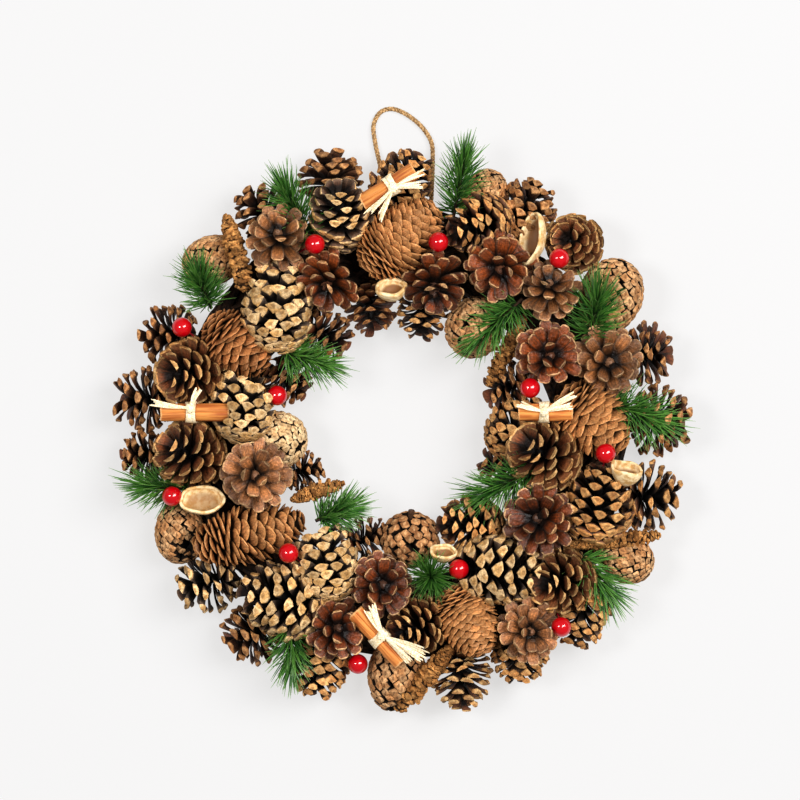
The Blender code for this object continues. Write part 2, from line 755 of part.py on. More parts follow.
def pod_shape(pod):
    """A bowl: half an ellipsoid outside, a smaller one inside, and a flat rim between them."""
    turn, rise = math.radians(pod.azimuth), math.radians(pod.lift)
    mouth = np.array((math.cos(rise) * math.cos(turn), math.cos(rise) * math.sin(turn), math.sin(rise)))
    wide, deep = across(mouth)
    angles = 2 * math.pi * np.arange(POD_SIDES) / POD_SIDES
    middle = np.array(pod.middle, float) + mouth * pod.depth / 2
    rings = []
    for wall, latitudes in ((0.0, (-50, -22, 0)), (POD_WALL, (0, -40))):
        for latitude in latitudes:
            tilt = math.radians(latitude)
            flat = math.cos(tilt)
            level = middle + mouth * (pod.depth - wall) * math.sin(tilt)
            rings.append(
                level
                + flat * (pod.half_length - wall) * np.outer(np.cos(angles), wide)
                + flat * (pod.half_width - wall) * np.outer(np.sin(angles), deep)
            )
    poles = np.array((middle - mouth * pod.depth, middle - mouth * (pod.depth - POD_WALL)))
    points = np.concatenate(rings + [poles])
    faces = loft_faces(len(rings), POD_SIDES)[:-2]
    outer_pole, inner_pole = len(points) - 2, len(points) - 1
    last = (len(rings) - 1) * POD_SIDES
    for k in range(POD_SIDES):
        after = (k + 1) % POD_SIDES
        faces.append((outer_pole, after, k))
        faces.append((inner_pole, last + k, last + after))
    return points, faces


def ring_mesh():
    """The ring's profile turned about Z."""
    turned = bmesh.new()
    corners = [turned.verts.new(((RING_RADIUS + x) * MM, 0, z * MM)) for x, z in RING_PROFILE]
    edges = [turned.edges.new((a, b)) for a, b in zip(corners, corners[1:] + corners[:1])]
    bmesh.ops.spin(
        turned, geom=corners + edges, cent=(0, 0, 0), axis=(0, 0, 1), angle=2 * math.pi, steps=RING_SEGMENTS
    )
    bmesh.ops.remove_doubles(turned, verts=turned.verts, dist=0.00001)
    bmesh.ops.recalc_face_normals(turned, faces=turned.faces)
    mesh = bpy.data.meshes.new("wreath_ring")
    turned.to_mesh(mesh)
    turned.free()
    return mesh


def loop_curve(route):
    """The hanging loop: a cord bevelled round, with filled ends."""
    curve = bpy.data.curves.new("hanging_loop", "CURVE")
    curve.dimensions = "3D"
    curve.bevel_depth = LOOP_DIAMETER / 2 * MM
    curve.bevel_resolution = 2
    curve.use_fill_caps = True
    spline = curve.splines.new("POLY")
    spline.points.add(len(route) - 1)
    for point, place in zip(spline.points, route):
        point.co = (*(place * MM), 1.0)
    return curve


def loop_bodies(route):
    """A round-ended body for each straight of the cord, none of which goes past the cord's flat ends."""
    radius = LOOP_DIAMETER / 2 + LOOP_SLACK
    middles = route.copy()
    middles[0] += radius * (route[1] - route[0]) / np.linalg.norm(route[1] - route[0])
    middles[-1] += radius * (route[-2] - route[-1]) / np.linalg.norm(route[-2] - route[-1])
    return [Body("hanging_loop", pair, radius) for pair in itertools.pairwise(middles)]


def shoot_pieces():
    """The spruce cones, sprigs and catkins, each with its body."""
    pieces = []
    for family, group in (("spruce_cone", SPRUCE_CONES), ("pine_sprig", SPRIGS), ("catkin", CATKINS)):
        for number, shoot in enumerate(group, 1):
            pieces.append((shoot, core_body(f"{family}_{number}", shoot.ends, shoot.radius, shoot.form)))
    return pieces


def rigid_pieces():
    """Berries, sticks, ties, pods and a stalk: the closed shapes of each node, and a body for every shape."""
    shapes = {}
    for number, berry in enumerate(BERRIES, 1):
        name = f"berry_{number}"
        shapes[name] = [ball_shape(berry.middle, BERRY_RADIUS)]
        if berry.stem:
            shapes[name].append(tube((berry.middle, berry.stem), WIRE_RADIUS, WIRE_SIDES))
    for number, stick in enumerate(STICKS, 1):
        shapes[f"cinnamon_stick_{number}"] = [stick_shape(stick)]
        shapes[f"raffia_tie_{number}"] = tie_shapes(stick)
    for number, pod in enumerate(PODS, 1):
        shapes[f"seed_pod_{number}"] = [pod_shape(pod)]
    shapes["pine_cones_8"] = [tube(PEG, PEG_RADIUS, PEG_SIDES)]
    bodies = [Body(node, shape[0], 0.0) for node, group in shapes.items() for shape in group]
    return shapes, bodies


def cone_bunches():
    """The pine cones of each node, each with its body."""
    bunches = {}
    for number, cones in enumerate(PINE_CONES, 1):
        node = f"pine_cones_{number}"
        bunches[node] = [BunchedCone(cone, core_body(node, cone.ends, cone.radius, cone.form)) for cone in cones]
    return bunches


def may_touch(first, second):
    """Whether two bodies need no plane: two rigid ones of a node, cones and their glue, or a tie and its stick."""
    if first.node == second.node:
        return not (first.reach and second.reach)
    kinds = {first.node.rsplit("_", 1)[0], second.node.rsplit("_", 1)[0]}
    numbers = {first.node.rsplit("_", 1)[-1], second.node.rsplit("_", 1)[-1]}
    return kinds == {"raffia_tie", "cinnamon_stick"} and len(numbers) == 1


def set_apart(bodies):
    """Divides every two bodies that could touch, and stops if two cores leave no room for the gap."""
    crowded = []
    for first, second in itertools.combinations(bodies, 2):
        if may_touch(first, second):
            continue
        gap = divide(first, second)
        if gap < GAP:
            crowded.append(f"{first.node} {first.middle.round()} and {second.node} {second.middle.round()}: {gap:.2f}")
    if crowded:
        raise ValueError("too close: " + "; ".join(crowded))


def finishes():
    """The material of each family of nodes, by the start of its nodes' names."""
    return {
        "wreath_ring": material("grapevine twigs", (0.105, 0.055, 0.026), 0.85),
        "hanging_loop": material("jute cord", (0.42, 0.29, 0.16), 0.9),
        "pine_cones": material("dry pine cone", (0.155, 0.075, 0.036), 0.7),
        "spruce_cone": material("dry spruce cone", (0.37, 0.19, 0.085), 0.65),
        "pine_sprig": material("evergreen needles", (0.04, 0.16, 0.035), 0.5),
        "catkin": material("dry catkin", (0.52, 0.28, 0.08), 0.85),
        "berry": material("lacquered berry", (0.62, 0.004, 0.022), 0.12),
        "cinnamon_stick": material("cinnamon bark", (0.50, 0.20, 0.065), 0.75),
        "raffia_tie": material("raffia", (0.85, 0.70, 0.47), 0.6),
        "seed_pod": material("seed pod shell", (0.66, 0.45, 0.23), 0.6),
    }


def finish_of(node, finish):
    """The finish whose family a node's name starts with."""
    return next(made for family, made in finish.items() if node.startswith(family))


def main():
    for old in list(bpy.data.objects):
        bpy.data.objects.remove(old)

    route = smooth_route(LOOP_ROUTE, LOOP_POINTS)
    shoots = shoot_pieces()
    shapes, rigid = rigid_pieces()
    bunches = cone_bunches()
    bodies = ring_bodies() + loop_bodies(route) + rigid + [body for _, body in shoots]
    bodies += [piece.body for group in bunches.values() for piece in group]
    set_apart(bodies)

    seeds = itertools.count(1)
    for shoot, body in shoots:
        points, faces, _ = scaled_core(shoot.form.value, shoot.ends, shoot.radius, body.planes, next(seeds))
        shapes[body.node] = [(points, faces)]
    for node, group in bunches.items():
        for piece in group:
            piece.grow(next(seeds))
        glue = [tube(ends, GLUE_RADIUS, GLUE_SIDES) for ends in glue_drops(node, group)]
        shapes[node] = [piece.shape for piece in group] + glue + shapes.get(node, [])

    finish = finishes()
    pieces = [add_object("wreath_ring", ring_mesh(), finish["wreath_ring"])]
    pieces.append(add_object("hanging_loop", loop_curve(route), finish["hanging_loop"]))
    pieces += [fuse(node, shapes[node], finish_of(node, finish)) for node in sorted(shapes)]

    points = np.concatenate([shape[0] for group in shapes.values() for shape in group])
    middle = (points.min(axis=0) + points.max(axis=0)) / 2
    wreath = bpy.data.objects.new("wreath", None)
    wreath.location = (-middle[0] * MM, -middle[1] * MM, 0.0)
    bpy.context.scene.collection.objects.link(wreath)
    for piece in pieces:
        piece.parent = wreath


main()
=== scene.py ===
"""The looks of a pinecone wreath lying on its back: its scales, needles, bark, raffia and finishes.

Lengths in the layout are millimetres from the middle of the wreath's ring, +X to the right, +Y to the
hanging loop and +Z out of the face. A mesh is moved to the frame's place of the ring and scaled to metres
when it is made, so that every object sits at the origin.
"""

from __future__ import annotations

import logging
import math
from collections.abc import Mapping, Sequence
from dataclasses import dataclass, field, replace
from enum import Enum
from typing import ClassVar

import bpy
import numpy as np
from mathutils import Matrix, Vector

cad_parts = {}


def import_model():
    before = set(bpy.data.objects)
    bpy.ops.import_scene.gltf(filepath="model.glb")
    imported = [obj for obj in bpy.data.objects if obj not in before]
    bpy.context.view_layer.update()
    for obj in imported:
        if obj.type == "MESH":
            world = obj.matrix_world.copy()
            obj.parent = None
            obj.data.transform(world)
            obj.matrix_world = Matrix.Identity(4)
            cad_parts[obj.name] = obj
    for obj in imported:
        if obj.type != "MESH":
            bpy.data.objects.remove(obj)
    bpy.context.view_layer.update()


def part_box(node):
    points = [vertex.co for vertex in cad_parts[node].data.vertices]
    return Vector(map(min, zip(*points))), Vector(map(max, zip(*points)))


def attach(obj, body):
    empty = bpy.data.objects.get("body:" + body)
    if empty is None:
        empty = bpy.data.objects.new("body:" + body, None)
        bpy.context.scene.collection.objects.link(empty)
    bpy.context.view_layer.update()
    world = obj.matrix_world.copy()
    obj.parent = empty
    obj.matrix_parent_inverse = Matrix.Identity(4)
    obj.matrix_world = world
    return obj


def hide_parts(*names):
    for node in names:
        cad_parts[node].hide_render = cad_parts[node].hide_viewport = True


Array = np.ndarray
Point = tuple[float, float, float]
Pair = tuple[float, float]
Triple = tuple[float, float, float]

LOG = logging.getLogger("wreath")
MM = 0.001
MM_PER_METRE = 1000.0
UP = np.array((0.0, 0.0, 1.0))
GOLDEN_ANGLE = math.pi * (3 - math.sqrt(5))
RING_RADIUS = 118.0
# Nothing reaches below this height, so that the back clears the board that the wreath lies on.
LOWEST = 0.3
# What is known of each point: the way along its loft, how far to the side, whether inward, its loft's tone.
MARKS = ("along", "across", "inner", "tone")


def linear(code: str) -> tuple[float, float, float, float]:
    """Turns sRGB hex to linear: c / 12.92 when dark, else ((c + 0.055) / 1.055) to the power 2.4.

    Args:
        code: Six hex digits.

    Returns:
        Linear red, green and blue, and an alpha of one.
    """
    parts = [int(code[i : i + 2], 16) / 255 for i in (0, 2, 4)]
    red, green, blue = (c / 12.92 if c <= 0.04045 else ((c + 0.055) / 1.055) ** 2.4 for c in parts)
    return red, green, blue, 1.0


def unit(vectors: Array) -> Array:
    """Each vector divided by its length."""
    vectors = np.asarray(vectors, float)
    return vectors / np.maximum(np.linalg.norm(vectors, axis=-1, keepdims=True), 1e-12)


def square_to(axis: Array) -> tuple[Array, Array]:
    """Gives two directions square to an axis and to each other, from its cross product with up or sideways.

    Args:
        axis: A unit vector.

    Returns:
        Two unit vectors.
    """
    helper = UP if abs(axis[2]) < 0.9 else np.array((1.0, 0.0, 0.0))
    side = unit(np.cross(helper, axis))
    return side, np.cross(axis, side)


def heading(azimuth: float, lift: float) -> Array:
    """The unit vector at an azimuth from +X and a lift from the level, both in degrees."""
    turn, rise = math.radians(azimuth), math.radians(lift)
    return np.array((math.cos(rise) * math.cos(turn), math.cos(rise) * math.sin(turn), math.sin(rise)))


def full_turn(count: int) -> Array:
    """So many angles, evenly round a circle."""
    return 2 * math.pi * np.arange(count) / count


def around(angle: Array, side: Array, other: Array) -> Array:
    """Cos angle times one direction plus sin angle times another, for each angle."""
    return np.cos(angle)[:, None] * side + np.sin(angle)[:, None] * other


def from_base(share: Array, values: Triple) -> Array:
    """The values at the base, the middle and the apex, carried straight to latitudes from -1 to 1."""
    return np.interp(share, (-1, 0, 1), values)


def smooth_step(values: Array, low: float, high: float) -> Array:
    """Nought below low, one above high, and 3 x squared minus 2 x cubed between."""
    share = np.clip((np.asarray(values, float) - low) / (high - low), 0, 1)
    return share * share * (3 - 2 * share)


def smooth_route(points: Sequence[Point], count: int) -> Array:
    """Evenly spaced points on a Catmull-Rom curve through some points.

    Between b and c, with a before and d after them, the curve at share s is half of 2 b + (c - a) s +
    (2 a - 5 b + 4 c - d) s squared + (3 b - a - 3 c + d) s cubed.

    Args:
        points: The points that the curve goes through.
        count: How many points come back.

    Returns:
        A count by 3 array.
    """
    route = np.array(points, float)
    padded = np.concatenate((2 * route[:1] - route[1:2], route, 2 * route[-1:] - route[-2:-1]))
    share = np.linspace(0, 1, 12, endpoint=False)[:, None]
    fine = []
    for a, b, c, d in zip(padded, padded[1:], padded[2:], padded[3:]):
        square, cube = 2 * a - 5 * b + 4 * c - d, 3 * b - a - 3 * c + d
        fine.append(0.5 * (2 * b + (c - a) * share + square * share**2 + cube * share**3))
    line = np.concatenate(fine + [route[-1:]])
    travelled = np.concatenate(([0], np.cumsum(np.linalg.norm(np.diff(line, axis=0), axis=1))))
    wanted = np.linspace(0, travelled[-1], count)
    return np.stack([np.interp(wanted, travelled, line[:, i]) for i in range(3)], axis=1)


class Wreath:
    """The frame's place of the ring, which the layout is measured from."""

    def __init__(self) -> None:
        """Reads the middle of the ring from the frame."""
        low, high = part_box("wreath_ring")
        middle = (low + high) / 2
        self.middle = np.array((middle[0], middle[1], 0.0))

    def placed(self, points: Array) -> Array:
        """Points in the row frame, in metres, from points in millimetres from the ring's middle."""
        return np.asarray(points, float) * MM + self.middle


@dataclass
class Heap:
    """Closed lofts gathered into one mesh, with a finish and some marks for every point.

    A loft is a stack of rings of points with a pole at each end: neighbouring rings are joined by quads and
    the end rings to their poles by triangles. Many lofts of one size are added at once.
    """

    name: str
    points: list[Array] = field(default_factory=list)
    loops: list[Array] = field(default_factory=list)
    sizes: list[Array] = field(default_factory=list)
    slots: list[Array] = field(default_factory=list)
    marks: dict[str, list[Array]] = field(default_factory=lambda: {mark: [] for mark in MARKS})
    count: int = 0

    def add(self, rings: Array, finish: int = 0, **marks: Array | float) -> None:
        """Adds lofts whose rings turn anticlockwise about the way they go on.

        Args:
            rings: Lofts by rings by points by 3, in millimetres.
            finish: The place of their finish among the piece's finishes.
            marks: Values that broadcast to lofts by rings by points.
        """
        lofts, stack, sides, _ = rings.shape
        poles = rings[:, (0, -1)].mean(axis=2)
        body = rings.reshape(lofts, stack * sides, 3)
        each = stack * sides + 2
        self.points.append(np.concatenate((body, poles), axis=1).reshape(-1, 3))
        r, k = np.meshgrid(np.arange(stack - 1), np.arange(sides), indexing="ij")
        low, after = r * sides + k, r * sides + (k + 1) % sides
        quads = np.stack((low, after, after + sides, low + sides), axis=-1).reshape(-1)
        k = np.arange(sides)
        after, top = (k + 1) % sides, (stack - 1) * sides
        first = np.stack((np.full(sides, each - 2), after, k), axis=-1).reshape(-1)
        last = np.stack((np.full(sides, each - 1), top + k, top + after), axis=-1).reshape(-1)
        template = np.concatenate((quads, first, last))
        sizes = np.concatenate((np.full(len(quads) // 4, 4), np.full(2 * sides, 3)))
        starts = self.count + each * np.arange(lofts)
        self.loops.append((starts[:, None] + template).reshape(-1))
        self.sizes.append(np.tile(sizes, lofts))
        self.slots.append(np.full(len(sizes) * lofts, finish))
        for mark in MARKS:
            full = np.broadcast_to(np.asarray(marks.get(mark, 0.0), float), (lofts, stack, sides))
            ends = full[:, (0, -1)].mean(axis=2)
            self.marks[mark].append(np.concatenate((full.reshape(lofts, -1), ends), axis=1).reshape(-1))
        self.count += lofts * each

    def build(
        self, wreath: Wreath, finishes: Sequence[Finish], node: str, slot: str, smooth: float = 40.0
    ) -> bpy.types.Object:
        """Makes the piece, which rides on the wreath in the place of a node of the frame, and reports it.

        Args:
            wreath: The place of the ring, which the points are measured from.
            finishes: The finishes, in the order that add() numbers them.
            node: The node that the piece replaces.
            slot: The record's material slot for it; not used.
            smooth: The angle in degrees below which faces meet smoothly.

        Returns:
            The object in the scene.
        """
        materials = [finish.material for finish in finishes]
        mesh = bpy.data.meshes.new(self.name)
        points = np.concatenate(self.points)
        points[:, 2] = np.maximum(points[:, 2], LOWEST)
        points = wreath.placed(points)
        loops, sizes = np.concatenate(self.loops), np.concatenate(self.sizes)
        mesh.vertices.add(len(points))
        mesh.vertices.foreach_set("co", points.astype(np.float32).ravel())
        mesh.loops.add(len(loops))
        mesh.loops.foreach_set("vertex_index", loops.astype(np.int32))
        mesh.polygons.add(len(sizes))
        mesh.polygons.foreach_set("loop_start", (np.cumsum(sizes) - sizes).astype(np.int32))
        mesh.polygons.foreach_set("material_index", np.concatenate(self.slots).astype(np.int32))
        for material in materials:
            mesh.materials.append(material)
        for mark in MARKS:
            layer = mesh.attributes.new(mark, "FLOAT", "POINT")
            layer.data.foreach_set("value", np.concatenate(self.marks[mark]).astype(np.float32))
        mesh.update(calc_edges=True)
        mesh.shade_smooth()
        mesh.set_sharp_from_angle(angle=math.radians(smooth))
        made = bpy.data.objects.new(self.name, mesh)
        bpy.context.scene.collection.objects.link(made)
        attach(made, "root")
        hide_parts(node)
        LOG.info("%s: %d triangles", self.name, int((sizes - 2).sum()))
        return made


def tube_rings(line: Array, radii: Array | float, sides: int, flat: float = 1.0, level: Array = UP) -> Array:
    """Rings round one line or many: point + radius (cos a side + flat sin a normal).

    The side is the cross product of a level direction and the line's run, and the normal is square to both.

    Args:
        line: Points by 3, or lofts by points by 3.
        radii: Half widths that broadcast to the line's points.
        sides: Points to a ring.
        flat: The half thickness as a share of the half width.
        level: The direction that the thickness leans to.

    Returns:
        Lofts by points by sides by 3.
    """
    lines = line if line.ndim == 3 else line[None]
    run = unit(np.gradient(lines, axis=1))
    side = unit(np.cross(np.broadcast_to(level, run.shape), run))
    normal = np.cross(run, side)
    angle = full_turn(sides)
    radii = np.broadcast_to(np.asarray(radii, float), lines.shape[:2])[..., None, None]
    upward = flat * np.sin(angle)[:, None] * normal[..., None, :]
    spoke = np.cos(angle)[:, None] * side[..., None, :] + upward
    return lines[..., None, :] + radii * spoke


@dataclass(frozen=True)
class Capsule:
    """A round-ended bar that scales keep out of."""

    start: Point
    stop: Point
    radius: float

    def holds(self, points: Array) -> Array:
        """Tells whether points are nearer to the bar's line than its radius.

        Args:
            points: Any number of points, by 3.

        Returns:
            A truth value for each point.
        """
        start, run = np.array(self.start, float), np.array(self.stop, float) - np.array(self.start, float)
        share = np.clip((points - start) @ run / max(float(run @ run), 1e-9), 0, 1)
        return np.linalg.norm(points - start - share[..., None] * run, axis=-1) < self.radius


@dataclass(frozen=True)
class Outline:
    """A scale from root to tip: shares of its length, of its half width, and of the way from blade to head.

    A section is wide times cos a by high times sin a, each to the power of the pinch, which makes an oval a
    rhomb. The inner side is thinner than the outer one by the inner share, and hollow where that is below
    nought. The slant is how far the head's face leans back on its outer side, as a share of its thickness.
    """

    along: tuple[float, ...]
    wide: tuple[float, ...]
    thick: tuple[float, ...]
    pinch: float
    inner: float
    slant: float
    sides: int = 8

    def section(self) -> tuple[Array, Array]:
        """Shapes one section.

        Returns:
            The sideways and the upward share of each of its points.
        """
        turn = full_turn(self.sides)
        wide = np.sign(np.cos(turn)) * np.abs(np.cos(turn)) ** self.pinch
        high = np.sign(np.sin(turn)) * np.abs(np.sin(turn)) ** self.pinch
        return wide, np.where(high > 0, self.inner, 1.0) * high

    def inward(self) -> Array:
        """One for the points on the inner side of a section, and nought for the rest."""
        return (np.sin(full_turn(self.sides)) > 0.05) * 1.0

    def cover(self) -> float:
        """The area of a section whose half width and half thickness are one: half the sum of x dy - y dx."""
        wide, high = self.section()
        return float(np.sum(wide * np.roll(high, -1) - high * np.roll(wide, -1)) / 2)


class ScaleCut(Enum):
    """The kinds of scale on the wreath."""

    SHIELD = Outline(
        (0.0, 0.3, 0.58, 0.79, 0.91, 0.955, 0.975, 1.0),
        (0.4, 0.58, 0.76, 0.92, 1.0, 0.93, 0.5, 0.12),
        (0.0, 0.08, 0.3, 0.7, 1.0, 0.92, 0.5, 0.1),
        pinch=1.5, inner=0.42, slant=0.7,
    )
    TONGUE = Outline(
        (0.0, 0.25, 0.5, 0.75, 0.9, 0.955, 0.98, 1.0),
        (0.5, 0.74, 0.94, 1.0, 0.97, 0.84, 0.48, 0.12),
        (0.0, 0.04, 0.12, 0.42, 1.0, 0.94, 0.5, 0.1),
        pinch=1.4, inner=0.3, slant=0.6,
    )
    CRESCENT = Outline(
        (0.0, 0.3, 0.6, 0.8, 0.92, 0.965, 0.985, 1.0),
        (0.4, 0.64, 0.86, 0.97, 1.0, 0.9, 0.56, 0.16),
        (0.0, 0.1, 0.25, 0.6, 1.0, 0.9, 0.56, 0.16),
        pinch=1.05, inner=-0.2, slant=0.6,
    )
    PLATE = Outline(
        (0.0, 0.7, 0.86, 0.94, 0.98, 1.0),
        (0.5, 0.94, 1.0, 0.62, 0.24, 0.1),
        (0.5, 0.94, 1.0, 0.62, 0.24, 0.1),
        pinch=1.6, inner=1.0, slant=0.0,
    )
    PETAL = Outline(
        (0.0, 0.25, 0.5, 0.7, 0.86, 0.95, 0.985, 1.0),
        (0.42, 0.68, 0.9, 1.0, 0.96, 0.74, 0.48, 0.22),
        (0.0, 0.12, 0.22, 0.4, 0.8, 1.0, 0.8, 0.4),
        pinch=1.1, inner=0.4, slant=0.3,
    )
    SHINGLE = Outline(
        (0.0, 0.4, 0.62, 0.78, 0.91, 1.0),
        (0.6, 0.94, 1.0, 0.88, 0.54, 0.05),
        (0.4, 0.9, 1.0, 0.8, 0.5, 0.2),
        pinch=1.0, inner=0.2, slant=0.0,
    )
    LUMP = Outline(
        (0.0, 0.45, 0.75, 0.92, 1.0),
        (0.6, 0.9, 1.0, 0.66, 0.2),
        (0.4, 0.8, 1.0, 0.7, 0.25),
        pinch=1.0, inner=1.0, slant=0.0, sides=6,
    )


@dataclass(frozen=True)
class Growth:
    """How scales stand on a cone. A triple gives a value at the base, halfway up and at the apex.

    The tips lie on an egg that reaches past the ends of the axis by the shares of the radius in past, and
    is slimmer at the apex by the egg share. They fill it between the two sines of latitude in span, and the
    crowding sets them closer at the base where it is over one. A tilt turns a scale from straight out
    towards the apex, in degrees. It grows from the core, a share of the radius, and is no longer than the
    longest share. A fill of one makes a head as large as its share of the egg's surface. The head and the
    blade are half thicknesses as shares of the half width, and the bow and the curl lift a scale's middle
    and its tip. The lean is the scatter of the tilt in degrees, and uneven, ragged and width those of the
    length, a head's corners and the width, as shares. The bearing and the twist are scatters in radians.
    """

    scales: int
    cut: ScaleCut
    span: Pair
    past: Pair
    egg: float
    tilts: Triple
    fill: Triple
    head: Triple
    core: float
    longest: float
    blade: float = 0.16
    bow: float = 0.0
    curl: float = 0.0
    uneven: float = 0.05
    lean: float = 4.0
    crowding: float = 1.0
    ragged: float = 0.1
    width: float = 0.1
    bearing: float = 0.05
    twist: float = 0.12


class Form(Enum):
    """The kinds of cone and catkin on the wreath."""

    OPEN = Growth(
        54, ScaleCut.TONGUE, span=(-0.94, 0.92), past=(0.1, 0.25), egg=0.1,
        tilts=(-50, 14, 68), fill=(0.5, 0.42, 0.42), head=(0.8, 0.62, 0.5),
        core=0.14, longest=1.25, bow=0.03, curl=0.06, uneven=0.14, lean=12.0, crowding=1.1, ragged=0.2,
    )
    SMALL = replace(OPEN, scales=50, past=(0.1, 0.2), fill=(0.52, 0.45, 0.42), core=0.16)
    TIERED = Growth(
        72, ScaleCut.CRESCENT, span=(-0.92, 0.95), past=(0.1, 0.24), egg=0.1,
        tilts=(-46, 20, 70), fill=(0.46, 0.4, 0.38), head=(0.7, 0.6, 0.6),
        core=0.12, longest=1.2, bow=0.02, curl=0.02, uneven=0.08, lean=8.0, crowding=1.05,
    )
    ROSETTE = Growth(
        37, ScaleCut.PETAL, span=(-0.62, 0.98), past=(0.06, 0.24), egg=0.08,
        tilts=(-50, 4, 74), fill=(0.34, 0.33, 0.38), head=(0.5, 0.44, 0.56),
        core=0.04, longest=1.05, blade=0.14, bow=-0.06, curl=0.08, uneven=0.16, lean=15.0, ragged=0.08,
    )
    HALF_OPEN = Growth(
        104, ScaleCut.SHIELD, span=(-0.97, 0.92), past=(0.3, 0.2), egg=0.1,
        tilts=(-60, 26, 58), fill=(0.94, 0.62, 0.48), head=(1.1, 0.8, 0.55),
        core=0.2, longest=1.25, blade=0.18, bow=0.02, curl=0.04, uneven=0.12, lean=11.0, crowding=1.25,
        ragged=0.16,
    )
    CLOSED = Growth(
        190, ScaleCut.PLATE, span=(-0.985, 0.985), past=(0.25, 0.06), egg=0.08,
        tilts=(-90, 0, 90), fill=(1.0, 1.0, 1.0), head=(0.9, 0.9, 0.9),
        core=0.4, longest=0.6, blade=0.8, uneven=0.04, ragged=0.12,
    )
    KNOBBED = replace(
        CLOSED, scales=128, fill=(0.88, 0.88, 0.88), head=(0.8, 0.8, 0.8), core=0.3, longest=0.75,
        uneven=0.08, lean=8.0, ragged=0.16,
    )
    SPRUCE = Growth(
        222, ScaleCut.SHINGLE, span=(-0.98, 0.98), past=(0.0, 0.0), egg=0.08,
        tilts=(-50, 54, 82), fill=(0.68, 0.64, 0.62), head=(0.24, 0.24, 0.24),
        core=0.4, longest=0.8, bow=0.05, curl=0.03, lean=3.0, ragged=0.06,
    )
    LOOSE_SPRUCE = replace(
        SPRUCE, scales=140, span=(-0.98, 0.97), tilts=(-50, 46, 78), fill=(0.6, 0.56, 0.54), core=0.3,
        longest=0.95, bow=0.06, curl=0.04, uneven=0.06, lean=5.0, ragged=0.08,
    )
    CATKIN = Growth(
        210, ScaleCut.LUMP, span=(-0.98, 0.98), past=(0.0, 0.0), egg=0.0,
        tilts=(-60, 25, 80), fill=(1.0, 1.0, 1.0), head=(0.5, 0.5, 0.5),
        core=0.3, longest=0.8, blade=0.4, uneven=0.55, lean=42.0, ragged=0.45,
    )


